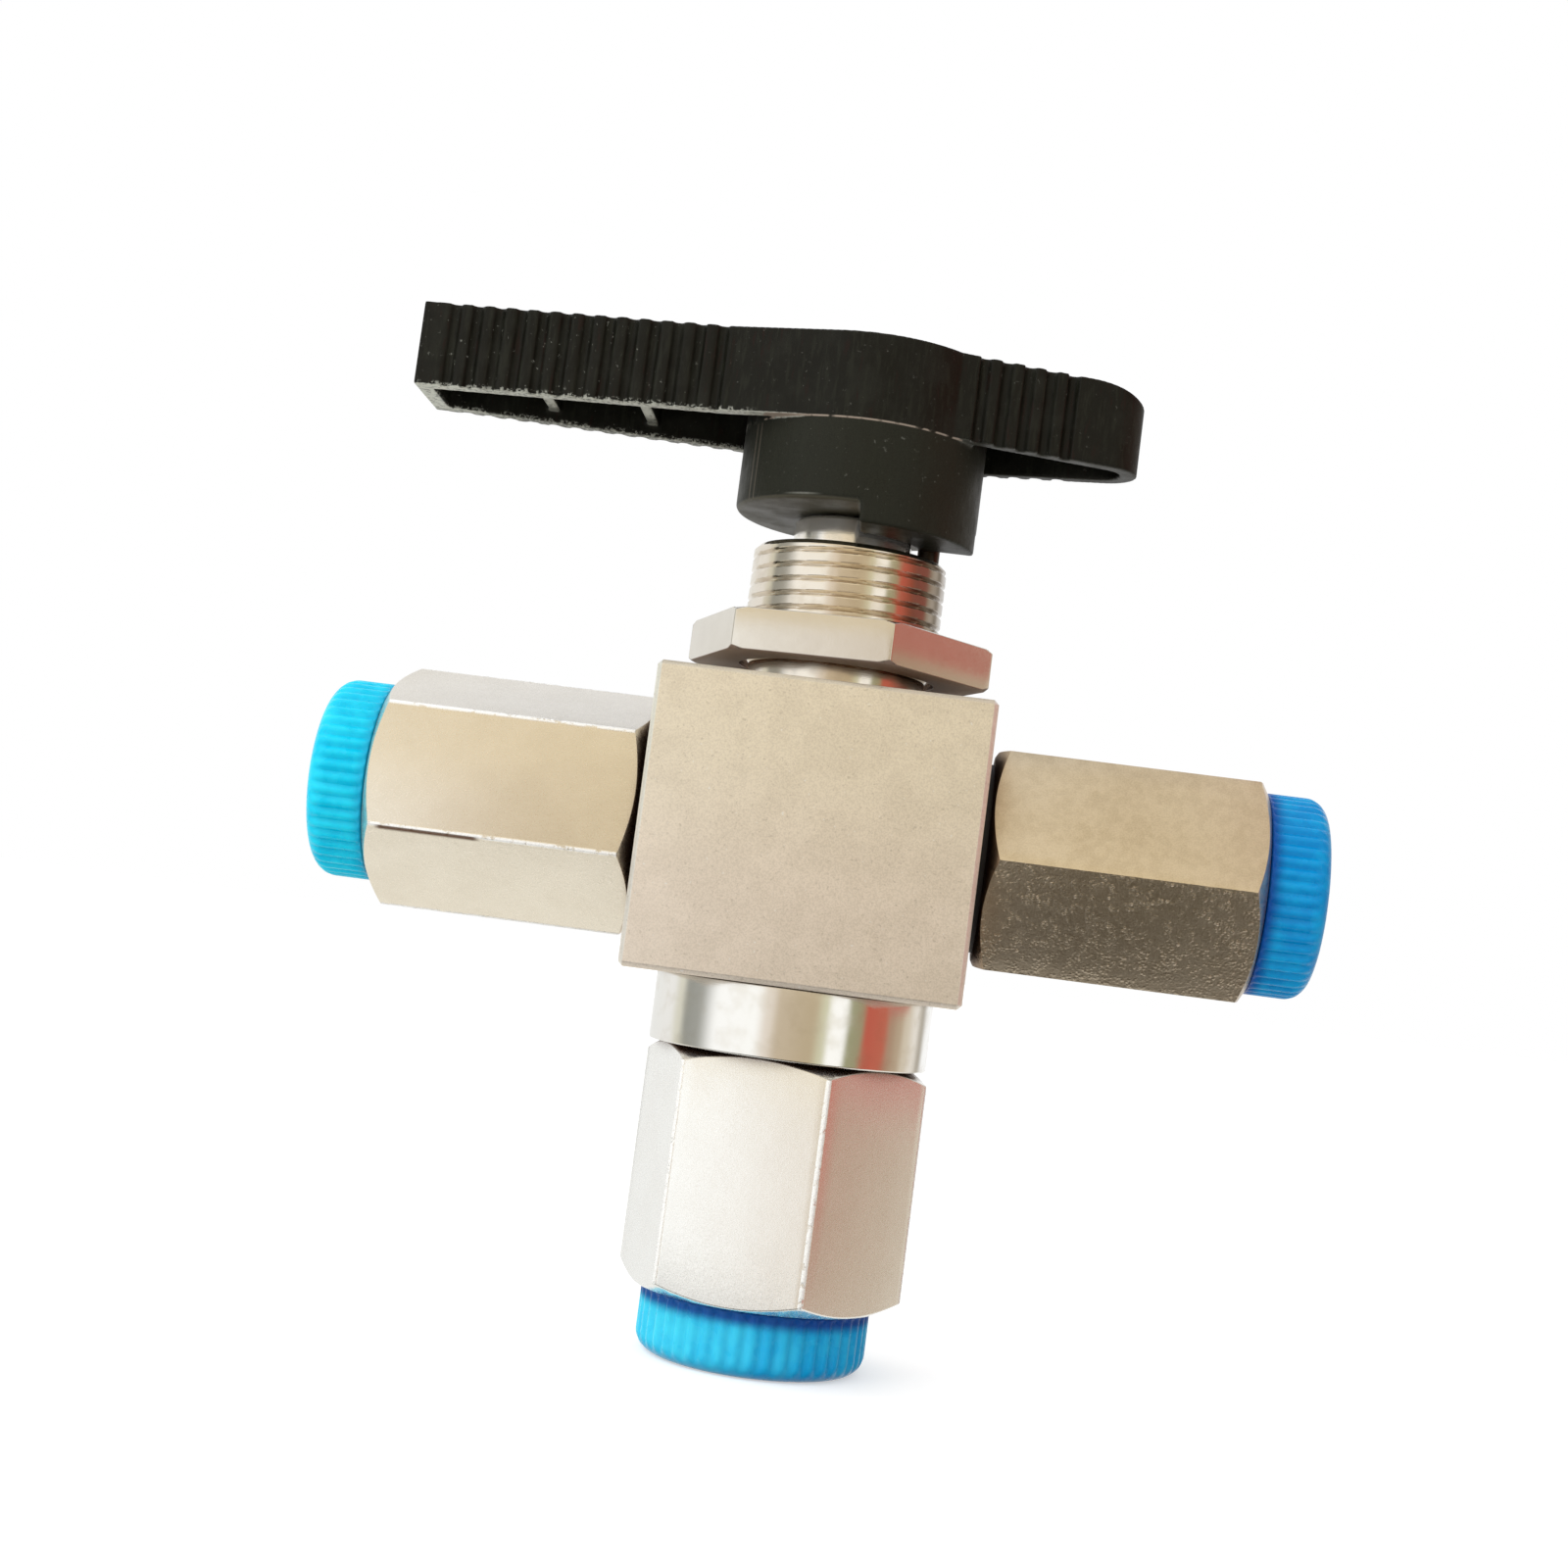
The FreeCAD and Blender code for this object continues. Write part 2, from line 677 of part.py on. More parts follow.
def make_ball():
    """Ball with an elbow way from the common port below to one side port."""
    body = new_body("ball")
    sphere = body.newObject("PartDesign::AdditiveSphere", "sphere")
    bind(sphere, "Radius", "ball_radius")
    settle(body, sphere, adds=True)
    sketch = new_sketch(body, "side_way_outline", "YZ_Plane")
    draw_circle(sketch, "flow_radius")
    extrude(body, "Pocket", "side_way", sketch, "ball_radius", up=False)
    sketch = new_sketch(body, "bottom_way_outline", "XY_Plane")
    draw_circle(sketch, "flow_radius")
    extrude(body, "Pocket", "bottom_way", sketch, "ball_radius", up=False)
    elbow = body.newObject("PartDesign::SubtractiveSphere", "elbow")
    bind(elbow, "Radius", "flow_radius")
    settle(body, elbow, adds=False)
    sketch = new_sketch(body, "slot_outline", "XY_Plane", "ball_radius - slot_depth")
    half = "tang_width / 2 + stem_gap"
    draw_outline(sketch, rectangle("-ball_radius", "ball_radius", f"-({half})", half))
    extrude(body, "Pocket", "slot", sketch, "slot_depth")
    body.Placement = Placement(Vector(0, 0, value("run_level")), Rotation())
    bind(body, "Placement.Base.z", "run_level")


def make_stem():
    """Stem: tang, blow-out shoulder, round shaft and the square that the handle grips."""
    body = new_body("stem")
    spin(body, "Revolution", "shaft", [
        ("0", "shoulder_level"),
        ("shoulder_radius", "shoulder_level"),
        ("shoulder_radius", "shoulder_top"),
        ("stem_radius", "shoulder_top"),
        ("stem_radius", "hub_bottom"),
        ("0", "hub_bottom"),
    ])
    half = "stem_square / 2"
    sketch = new_sketch(body, "square_outline", "XY_Plane", "hub_bottom")
    draw_outline(sketch, rectangle("-" + half, half, "-" + half, half))
    extrude(body, "Pad", "square", sketch, "stem_top - hub_bottom")
    sketch = new_sketch(body, "tang_outline", "XY_Plane", "shoulder_level")
    length = "(shoulder_radius * 0.8)"
    draw_outline(sketch, rectangle("-" + length, length, "-tang_width / 2", "tang_width / 2"))
    extrude(body, "Pad", "tang", sketch, "slot_depth", up=False)


def arm_half(distance):
    """Half-width of the arm at a distance from the stem axis."""
    return f"(arm_end_half + arm_slope * (arm_length - ({distance})))"


def arm_outline(inset):
    """Plan of the arm, drawn in by a wall thickness, as far as the stem axis."""
    end = f"-(arm_length - {inset})"
    root = "-arm_root"
    flare_x = "-hub_radius * sin(flare_turn)"
    flare_y = f"(hub_radius * cos(flare_turn) - {inset})"
    half = [
        (end, f"(arm_end_half - {inset})"),
        (root, f"(arm_root_half - {inset})"),
        (flare_x, flare_y),
        ("0", flare_y),
    ]
    return half + [(x, f"-{y}") for x, y in reversed(half)]


def tail_outline(inset):
    """Plan of the tail, drawn in by a wall thickness, from the stem axis to its nose."""
    half = [
        ("0", f"(tail_root_half + tail_slope * tail_root - {inset})"),
        (
            f"tip_centre + (tail_tip_radius - {inset}) * sin(tail_angle)",
            f"((tail_tip_radius - {inset}) * cos(tail_angle))",
        ),
    ]
    return half + [(x, f"-{y}") for x, y in reversed(half)]


def cut_grooves(body, name, start, half, turn, count, side):
    """Cut a row of upright finger grooves along one flank of the handle."""
    far = side > 0
    place = (start, half if far else f"-{half}")
    angle = turn if far else f"-({turn})"
    sketch = new_sketch(body, name + "_outline", "XY_Plane", "handle_bottom", angle, place)
    draw_circle(sketch, "groove_radius")
    groove = extrude(body, "Pocket", name, sketch, "handle_height")
    repeat_along(body, name + "s", groove, sketch, "groove_pitch", count)


def make_handle():
    """Moulded lever: hollow ribbed arm and tail, solid hub and the stop skirt under it."""
    body = new_body("handle")
    cell = "handle_height - handle_roof"
    sketch = new_sketch(body, "arm_outline", "XY_Plane", "handle_bottom")
    draw_outline(sketch, arm_outline("0"))
    extrude(body, "Pad", "arm", sketch, "handle_height")
    sketch = new_sketch(body, "tail_outline", "XY_Plane", "handle_bottom")
    draw_outline(sketch, tail_outline("0"))
    extrude(body, "Pad", "tail", sketch, "handle_height")
    sketch = new_sketch(body, "nose_outline", "XY_Plane", "handle_bottom")
    draw_circle(sketch, "tail_tip_radius", ("tip_centre", "0"))
    extrude(body, "Pad", "nose", sketch, "handle_height")

    sketch = new_sketch(body, "arm_hollow_outline", "XY_Plane", "handle_bottom")
    draw_outline(sketch, arm_outline("handle_wall"))
    extrude(body, "Pocket", "arm_hollow", sketch, cell)
    sketch = new_sketch(body, "tail_hollow_outline", "XY_Plane", "handle_bottom")
    draw_outline(sketch, tail_outline("handle_wall"))
    extrude(body, "Pocket", "tail_hollow", sketch, cell)
    sketch = new_sketch(body, "nose_hollow_outline", "XY_Plane", "handle_bottom")
    draw_circle(sketch, "tail_tip_radius - handle_wall", ("tip_centre", "0"))
    extrude(body, "Pocket", "nose_hollow", sketch, cell)

    for number in range(2):
        middle = f"(arm_length - rib_first - {number} * rib_pitch)"
        half = f"({arm_half(middle)} - handle_wall / 2)"
        sketch = new_sketch(body, f"rib{number}_outline", "XY_Plane", "handle_bottom + rib_step")
        near, far = f"-({middle} - rib_wall / 2)", f"-({middle} + rib_wall / 2)"
        draw_outline(sketch, rectangle(far, near, "-" + half, half))
        extrude(body, "Pad", f"rib{number}", sketch, f"{cell} - rib_step / 2")

    sketch = new_sketch(body, "hub_outline", "XY_Plane", "hub_bottom")
    draw_circle(sketch, "hub_radius")
    extrude(body, "Pad", "hub", sketch, "hub_height + handle_height")
    dress(body, "Fillet", "hub_rim", "hub_edge",
          lambda edge: is_level_edge(edge, value("hub_bottom")))
    add_skirt(body)

    arm_first = "-(arm_length - arm_groove_margin)"
    arm_turn = "atan(arm_slope)"
    tail_first = "(tail_root + tail_groove_margin)"
    tail_start_half = "(tail_root_half - tail_slope * tail_groove_margin)"
    for side, word in ((-1, "near"), (1, "far")):
        cut_grooves(body, f"{word}_arm_groove", arm_first,
                    arm_half("arm_length - arm_groove_margin"), arm_turn, "arm_grooves", side)
        cut_grooves(body, f"{word}_tail_groove", tail_first,
                    tail_start_half, "-tail_angle", "tail_grooves", side)

    sketch = new_sketch(body, "stem_hole_outline", "XY_Plane", "hub_bottom")
    half = "(stem_square / 2 + stem_gap)"
    draw_outline(sketch, rectangle("-" + half, half, "-" + half, half))
    extrude(body, "Pocket", "stem_hole", sketch, "stem_top - hub_bottom")
    sketch = new_sketch(body, "screw_hole_outline", "XZ_Plane")
    draw_circle(sketch, "screw_radius", ("0", "screw_level"))
    extrude(body, "Pocket", "screw_hole", sketch, "hub_radius * 2", up=False)


def add_skirt(body):
    """Quarter ring under the hub whose two flat ends meet the stop pins."""
    sketch = new_sketch(body, "skirt_outline", "XY_Plane", "skirt_bottom")
    inset = value("skirt_inset")
    rim, bore = (
        Part.ArcOfCircle(Part.Circle(Vector(), Vector(0, 0, 1), radius),
                         -math.acos(inset / radius), -math.asin(inset / radius))
        for radius in (value("hub_radius"), value("skirt_bore"))
    )
    far = Part.LineSegment(rim.EndPoint, bore.EndPoint)
    near = Part.LineSegment(bore.StartPoint, rim.StartPoint)
    for piece in (rim, far, bore, near):
        sketch.addGeometry(piece, False)
    joins = ((0, 2, 1, 1), (1, 2, 2, 2), (2, 1, 3, 1), (3, 2, 0, 1))
    for first, first_end, second, second_end in joins:
        sketch.addConstraint(
            Sketcher.Constraint("Coincident", first, first_end, second, second_end)
        )
    for arc, radius in ((0, "hub_radius"), (2, "skirt_bore")):
        sketch.addConstraint(Sketcher.Constraint("Coincident", arc, 3, -1, 1))
        number = sketch.addConstraint(Sketcher.Constraint("Radius", arc, value(radius)))
        sketch.renameConstraint(number, f"radius{arc}")
        bind(sketch, f"Constraints.radius{arc}", radius)
        for kind, ends in (("DistanceX", (-1, 1, arc, 1)), ("DistanceY", (arc, 2, -1, 1))):
            number = sketch.addConstraint(Sketcher.Constraint(kind, *ends, inset))
            sketch.renameConstraint(number, f"{kind}{arc}")
            bind(sketch, f"Constraints.{kind}{arc}", "skirt_inset")
    extrude(body, "Pad", "skirt", sketch, "skirt_drop + hub_edge")


def make_set_screw():
    """Screw that locks the handle to the stem's square, with a hexagon socket."""
    body = new_body("set_screw")
    seat = "stem_square / 2"
    length = f"hub_radius - screw_recess - {seat}"
    sketch = new_sketch(body, "screw_outline", "XY_Plane", seat)
    draw_circle(sketch, "screw_radius - fit_gap")
    extrude(body, "Pad", "screw", sketch, length)
    sketch = new_sketch(body, "socket_outline", "XY_Plane", "hub_radius - screw_recess")
    draw_outline(sketch, hexagon("screw_socket", "0"))
    extrude(body, "Pocket", "socket", sketch, "screw_socket_depth", up=False)
    body.Placement = Placement(Vector(0, 0, value("screw_level")), Rotation(Vector(1, 0, 0), -90))
    bind(body, "Placement.Base.z", "screw_level")


def check_and_export():
    """Refuse any failed object, then write each piece to a STEP file of its own."""
    doc.recompute()
    for item in doc.Objects:
        if "Invalid" in item.State or "Error" in item.State:
            raise ValueError(f"{item.Label} is {item.State}")
    os.makedirs("parts", exist_ok=True)
    for body in doc.findObjects("PartDesign::Body"):
        shape = body.Shape
        if shape.isNull() or not shape.isValid() or not shape.Solids:
            raise ValueError(f"{body.Label} has no valid solid")
        shape.exportStep(f"parts/{body.Label}.step")
        print(f"{body.Label}: {len(shape.Solids)} solid, {shape.Volume:.1f} mm3")


def main():
    """Build the valve from the block outwards."""
    make_body_block()
    make_panel_nut()
    make_packing()
    make_packing_bolt()
    make_stop_pins()
    ports = (("left", "side", -90), ("right", "side", 90), ("bottom", "bottom", 180))
    for side, family, tilt in ports:
        port = Port(side, family, tilt)
        port.make_connector()
        port.make_seat()
        port.make_seal()
        port.make_cap()
    make_ball()
    make_stem()
    make_handle()
    make_set_screw()
    check_and_export()


main()
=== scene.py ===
"""Looks of a three-way ball valve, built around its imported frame.

Every length in a dataclass is in millimetres, as on a drawing, and MM turns it into metres.
The frame has +Z up the stem and +X along the run of the side ports, with its origin on the
stem axis in the top face of the block.
"""

import json
import logging
import math
from collections.abc import Callable, Iterator
from contextlib import contextmanager
from dataclasses import dataclass
from enum import Enum

import bpy
from mathutils import Euler, Matrix, Vector

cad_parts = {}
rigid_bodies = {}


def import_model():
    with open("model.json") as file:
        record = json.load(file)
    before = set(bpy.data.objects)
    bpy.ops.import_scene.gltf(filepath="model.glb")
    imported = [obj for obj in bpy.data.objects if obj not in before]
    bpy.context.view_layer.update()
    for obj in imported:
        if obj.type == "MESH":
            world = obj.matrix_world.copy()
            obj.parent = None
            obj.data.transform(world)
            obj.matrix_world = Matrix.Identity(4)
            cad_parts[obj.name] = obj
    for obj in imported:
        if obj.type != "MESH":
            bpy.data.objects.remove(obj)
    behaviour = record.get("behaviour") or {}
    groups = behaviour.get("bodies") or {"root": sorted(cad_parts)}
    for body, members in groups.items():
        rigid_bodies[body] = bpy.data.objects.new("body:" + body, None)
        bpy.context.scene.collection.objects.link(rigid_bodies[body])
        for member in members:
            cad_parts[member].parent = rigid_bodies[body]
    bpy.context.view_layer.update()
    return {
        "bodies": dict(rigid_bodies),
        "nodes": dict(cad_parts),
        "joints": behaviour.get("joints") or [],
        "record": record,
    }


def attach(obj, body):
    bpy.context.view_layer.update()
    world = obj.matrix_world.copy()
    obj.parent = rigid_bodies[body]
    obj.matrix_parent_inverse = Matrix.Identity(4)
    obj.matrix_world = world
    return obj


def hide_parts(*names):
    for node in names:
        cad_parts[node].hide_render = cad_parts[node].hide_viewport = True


LOG = logging.getLogger("valve")
MM = 0.001
RUN_LEVEL = -12.7
BLOCK_BOTTOM = -26.0
NECK_TOP = 12.6
SIDE_FACE = 38.8
SIDE_MOUTH = 6.0
BOTTOM_FACE = 40.4
BOTTOM_MOUTH = 7.45
SHARP = math.radians(28)

Colour = tuple[float, float, float]
Outline = list[tuple[float, float]]
Rule = Callable[[float, float, float], float]
Piece = bpy.types.Object
Material = bpy.types.Material
Socket = bpy.types.NodeSocket


# Modelling tools


def deselect() -> None:
    """Leave nothing selected."""
    bpy.ops.object.select_all(action="DESELECT")


def take(piece: Piece) -> None:
    """Select one piece alone and make it active.

    Args:
        piece: The piece to work on.
    """
    deselect()
    piece.select_set(True)
    bpy.context.view_layer.objects.active = piece


@contextmanager
def editing(piece: Piece) -> Iterator[None]:
    """Hold a piece in edit mode, with all of it selected.

    Args:
        piece: The mesh to edit.

    Yields:
        Nothing: the piece is active in edit mode.
    """
    take(piece)
    bpy.ops.object.mode_set(mode="EDIT")
    bpy.ops.mesh.select_all(action="SELECT")
    try:
        yield
    finally:
        bpy.ops.object.mode_set(mode="OBJECT")


def apply_modifier(piece: Piece, kind: str, **settings: object) -> None:
    """Add a modifier to a piece, set it up and apply it.

    Args:
        piece: The piece to change.
        kind: Blender's name of the modifier, such as BEVEL.
        settings: Values of the modifier's own properties.
    """
    take(piece)
    modifier = piece.modifiers.new(kind.lower(), kind)
    for word, value in settings.items():
        setattr(modifier, word, value)
    bpy.ops.object.modifier_apply(modifier=modifier.name)


def smooth(piece: Piece, angle: float = 30.0) -> None:
    """Shade a piece smooth, apart from edges sharper than an angle in degrees."""
    take(piece)
    bpy.ops.object.shade_smooth_by_angle(angle=math.radians(angle))


def turned(name: str, outline: Outline, steps: int = 160) -> Piece:
    """Turn a closed outline round the Z axis, as on a lathe.

    Args:
        name: Name of the new piece.
        outline: Radius and height of each corner, in order round the section.
        steps: Number of faces round the piece.

    Returns:
        The turned piece.
    """
    deselect()
    bpy.ops.mesh.primitive_circle_add(vertices=len(outline), radius=1.0)
    piece = bpy.context.object
    piece.name = name
    for vertex, (radius, height) in zip(piece.data.vertices, outline):
        vertex.co = Vector((radius, 0.0, height)) * MM
    with editing(piece):
        bpy.ops.mesh.spin(steps=steps, angle=math.tau, center=(0, 0, 0), axis=(0, 0, 1))
        bpy.ops.mesh.select_all(action="SELECT")
        bpy.ops.mesh.remove_doubles(threshold=MM * 0.001)
        bpy.ops.mesh.normals_make_consistent(inside=False)
    return piece


def reshape(piece: Piece, rule: Rule) -> None:
    """Move every vertex straight out from the Z axis, to the radius that a rule gives.

    Args:
        piece: The turned piece to shape.
        rule: Gives a radius for a radius, an angle in radians and a height.
    """
    for vertex in piece.data.vertices:
        x, y, z = vertex.co / MM
        radius = math.hypot(x, y)
        if radius > 0:
            share = rule(radius, math.atan2(y, x), z) / radius
            vertex.co.x *= share
            vertex.co.y *= share
    piece.data.update()


def arc(centre: tuple[float, float], radius: float, start: float, end: float,
        count: int = 6) -> Outline:
    """Points along an arc of an outline.

    Args:
        centre: Radius and height of the arc's centre.
        radius: The arc's own radius.
        start: Angle of the first point in degrees, 0 outwards and 90 up.
        end: Angle of the last point.
        count: Number of steps.

    Returns:
        The points from start to end.
    """
    turns = [math.radians(start + (end - start) * step / count) for step in range(count + 1)]
    return [(centre[0] + radius * math.cos(turn), centre[1] + radius * math.sin(turn))
            for turn in turns]


def ramp_up(value: float, low: float, high: float) -> float:
    """Smooth step from 0 at low to 1 at high."""
    share = min(max((value - low) / (high - low), 0.0), 1.0)
    return share * share * (3.0 - 2.0 * share)


def copied(node: str, name: str, frame: dict) -> Piece:
    """Copy a node's mesh as a new piece with its triangles joined.

    Args:
        node: The CAD node.
        name: Name of the new piece.
        frame: The loaded frame.

    Returns:
        The new piece.
    """
    source = frame["nodes"][node]
    piece = bpy.data.objects.new(name, source.data.copy())
    piece.data.materials.clear()
    bpy.context.scene.collection.objects.link(piece)
    with editing(piece):
        bpy.ops.mesh.remove_doubles(threshold=MM * 0.0005)
        bpy.ops.mesh.dissolve_limited(angle_limit=math.radians(0.5))
    return piece


def cut(piece: Piece, tool: Piece) -> None:
    """Cut a piece with a closed tool and remove the tool."""
    apply_modifier(piece, "BOOLEAN", operation="DIFFERENCE", object=tool, solver="EXACT")
    bpy.data.objects.remove(tool)


def ease_edges(piece: Piece, width: float, segments: int = 2) -> None:
    """Round the sharp edges of a piece, by a width in millimetres."""
    apply_modifier(piece, "BEVEL", width=width * MM, segments=segments, limit_method="ANGLE",
                   angle_limit=SHARP, use_clamp_overlap=False, harden_normals=False)


def ease_long_edges(piece: Piece, width: float, length: float) -> None:
    """Round the long straight edges of a bar, and leave its short edges and arcs sharp.

    Args:
        piece: The piece.
        width: Width of the rounding in millimetres.
        length: The shortest edge that is rounded, in millimetres.
    """
    with editing(piece):
        bpy.ops.mesh.select_mode(type="EDGE")
        bpy.ops.mesh.select_all(action="DESELECT")
        bpy.ops.mesh.edges_select_sharp(sharpness=SHARP)
    corners = piece.data.vertices
    for edge in piece.data.edges:
        first, second = (corners[corner].co for corner in edge.vertices)
        edge.select = edge.select and (first - second).length > length * MM
    take(piece)
    bpy.ops.object.mode_set(mode="EDIT")
    bpy.ops.mesh.bevel(offset=width * MM, segments=2, affect="EDGES", clamp_overlap=True)
    bpy.ops.mesh.select_mode(type="VERT")
    bpy.ops.object.mode_set(mode="OBJECT")


def dress(piece: Piece, *materials: Material) -> None:
    """Give a new piece its materials, the main one first."""
    for material in materials:
        piece.data.materials.append(material)


def dress_part(piece: Piece, number: int,
               chosen: Callable[[bpy.types.MeshPolygon], bool]) -> None:
    """Give some faces of a piece another of its materials.

    Args:
        piece: The piece, with its materials on it.
        number: Which of its materials the faces take.
        chosen: Says of a face whether it takes it.
    """
    for polygon in piece.data.polygons:
        if chosen(polygon):
            polygon.material_index = number


@dataclass(frozen=True)
class Thread:
    """A screw thread with straight flanks and narrow crests."""

    pitch: float
    depth: float
    groove: float = 0.65

    def drop(self, angle: float, height: float) -> float:
        """Depth below the crest at a place on the threaded surface.

        Args:
            angle: Angle round the axis in radians.
            height: Height along the axis.

        Returns:
            The depth, from 0 at the crest to the thread's own depth at the root.
        """
        phase = (height / self.pitch - angle / math.tau) % 1.0
        flank = abs(2.0 * phase - 1.0)
        return self.depth * (1.0 - min(max((flank - 0.05) / self.groove, 0.0), 1.0))


class Side(Enum):
    """The three ports, by the way that they face."""

    LEFT = "left"
    RIGHT = "right"
    BOTTOM = "bottom"

    @property
    def tilt(self) -> float:
        """Turn about Y, in degrees, that points +Z out of the port."""
        return {Side.LEFT: -90.0, Side.RIGHT: 90.0, Side.BOTTOM: 180.0}[self]

    def stand(self, piece: Piece) -> None:
        """Move a piece from the Z axis onto the port's own axis."""
        turn = Matrix.Rotation(math.radians(self.tilt), 4, "Y")
        piece.data.transform(Matrix.Translation((0, 0, RUN_LEVEL * MM)) @ turn)


# Finishes


class Nodes:
    """Short calls for the nodes of one tree."""

    def __init__(self, tree: bpy.types.NodeTree, place: str) -> None:
        """Take a tree, and the name of the coordinates that its patterns read."""
        self.tree = tree
        self.place = self.node("ShaderNodeTexCoord").outputs[place]

    def node(self, kind: str, **settings: object) -> bpy.types.Node:
        """Add a node and set its properties.

        Args:
            kind: Blender's name of the node.
            settings: Values of the node's own properties.

        Returns:
            The node.
        """
        made = self.tree.nodes.new(kind)
        for word, value in settings.items():
            setattr(made, word, value)
        return made

    def join(self, source: Socket, target: Socket) -> None:
        """Link an output to an input."""
        self.tree.links.new(source, target)

    def parts(self, vector: Socket | None = None) -> tuple[Socket, ...]:
        """Split a vector.

        Args:
            vector: The vector, or the tree's own coordinates where none is given.

        Returns:
            Its three values.
        """
        made = self.node("ShaderNodeSeparateXYZ")
        self.join(vector or self.place, made.inputs[0])
        return tuple(made.outputs)

    def noise(self, size: float, detail: float = 2.0, rough: float = 0.5,
              vector: Socket | None = None) -> Socket:
        """Noise whose lumps are about a size in millimetres.

        Args:
            size: Size of a lump.
            detail: Number of finer layers.
            rough: Share of each finer layer.
            vector: Coordinates to read, or the tree's own.

        Returns:
            The noise as a factor around one half.
        """
        made = self.node("ShaderNodeTexNoise")
        made.inputs["Scale"].default_value = 1.0 / (size * MM)
        made.inputs["Detail"].default_value = detail
        made.inputs["Roughness"].default_value = rough
        self.join(vector or self.place, made.inputs["Vector"])
        return made.outputs["Fac"]

    def domes(self, size: float, wide: float) -> Socket:
        """Small round bumps, one to a cell of a size in millimetres.

        Args:
            size: Size of a cell.
            wide: Share of the cell that its bump reaches over.

        Returns:
            The height, from 0 to 1 at the top of each bump.
        """
        made = self.node("ShaderNodeTexVoronoi")
        made.inputs["Scale"].default_value = 1.0 / (size * MM)
        self.join(self.place, made.inputs["Vector"])
        return self.fit(made.outputs["Distance"], 0.0, wide, 1.0, 0.0)

    def fit(self, value: Socket, low: float, high: float, to_low: float = 0.0,
            to_high: float = 1.0) -> Socket:
        """Map a range of a value smoothly to another range.

        Args:
            value: The value to map.
            low: One end of its range.
            high: The other end, above or below.
            to_low: Result at the first end and beyond.
            to_high: Result at the other end and beyond.

        Returns:
            The mapped value.
        """
        made = self.node("ShaderNodeMapRange", interpolation_type="SMOOTHSTEP")
        for word, number in (("From Min", low), ("From Max", high), ("To Min", to_low),
                             ("To Max", to_high)):
            made.inputs[word].default_value = number
        self.join(value, made.inputs["Value"])
        return made.outputs["Result"]

    def within(self, value: Socket, low: float, high: float, soft: float = 0.1) -> Socket:
        """Share that is 1 where a length in metres lies between two in millimetres."""
        rise = self.fit(value, (low - soft) * MM, (low + soft) * MM)
        return self.both(rise, self.fit(value, (high - soft) * MM, (high + soft) * MM, 1.0, 0.0))

    def blend(self, share: Socket, first: Socket | Colour, second: Socket | Colour) -> Socket:
        """Mix two colours.

        Args:
            share: Share of the second colour.
            first: The first colour.
            second: The second colour.

        Returns:
            The mixed colour.
        """
        made = self.node("ShaderNodeMix", data_type="RGBA")
        self.join(share, made.inputs[0])
        for socket, colour in ((made.inputs[6], first), (made.inputs[7], second)):
            if isinstance(colour, tuple):
                socket.default_value = (*colour, 1.0)
            else:
                self.join(colour, socket)
        return made.outputs[2]

    def sum(self, *values: Socket | float, way: str = "ADD") -> Socket:
        """Join values by a sum, or by another operation of the Math node.

        Args:
            values: Sockets and numbers, in order and with a socket first.
            way: Blender's name of the operation.

        Returns:
            The result.
        """
        total = values[0]
        for value in values[1:]:
            made = self.node("ShaderNodeMath", operation=way)
            self.join(total, made.inputs[0])
            if isinstance(value, float):
                made.inputs[1].default_value = value
            else:
                self.join(value, made.inputs[1])
            total = made.outputs[0]
        return total

    def both(self, *values: Socket | float) -> Socket:
        """The product of several shares, sockets or numbers."""
        return self.sum(*values, way="MULTIPLY")


class Graph(Nodes):
    """Node tree of one material, read from the object's own coordinates."""

    def __init__(self, name: str) -> None:
        """Make a material.

        Args:
            name: Name of the material.
        """
        self.material = bpy.data.materials.new(name)
        self.material.use_nodes = True
        super().__init__(self.material.node_tree, "Object")
        self.shader = self.tree.nodes["Principled BSDF"]

    def stretched(self, x: float, y: float, z: float) -> Socket:
        """Scale the object coordinates.

        Args:
            x: Factor along X.
            y: Factor along Y.
            z: Factor along Z.

        Returns:
            The scaled coordinates.
        """
        mapping = self.node("ShaderNodeMapping")
        mapping.inputs["Scale"].default_value = (x, y, z)
        self.join(self.place, mapping.inputs["Vector"])
        return mapping.outputs["Vector"]

    def facing(self) -> tuple[Socket, ...]:
        """The three parts of the surface's own normal."""
        return self.parts(self.node("ShaderNodeTexCoord").outputs["Normal"])

    def gap_shade_and_grime(self, reach: float, deep: float, clear: float) -> Socket:
        """Share of painted shade, with some grime, in narrow crevices.

        Args:
            reach: How far to look for a neighbour, in millimetres.
            deep: Open share of the view at which the painted shade is full.
            clear: Open share at which there is none.

        Returns:
            The share, 1 deep in a gap and 0 in the open.
        """
        made = self.node("ShaderNodeAmbientOcclusion", samples=6)
        made.inputs["Distance"].default_value = reach * MM
        return self.fit(made.outputs["AO"], deep, clear, 1.0, 0.0)

    def raise_bumps(self, height: Socket, strength: float, distance: float) -> None:
        """Turn a height into the shader's normal.

        Args:
            height: Height of the surface, 0 to 1.
            strength: Strength of the effect.
            distance: Real height of a full step in millimetres.
        """
        made = self.node("ShaderNodeBump")
        made.inputs["Strength"].default_value = strength
        made.inputs["Distance"].default_value = distance * MM
        self.join(height, made.inputs["Height"])
        self.join(made.outputs["Normal"], self.shader.inputs["Normal"])

    def set(self, **values: object) -> None:
        """Set sockets of the shader.

        Args:
            values: A number, colour or socket for each, named with underscores for spaces.
        """
        for word, value in values.items():
            socket = self.shader.inputs[word.replace("_", " ")]
            if isinstance(value, Socket):
                self.join(value, socket)
            elif isinstance(value, tuple) and len(value) == 3 and socket.type == "RGBA":
                socket.default_value = (*value, 1.0)
            else:
                socket.default_value = value


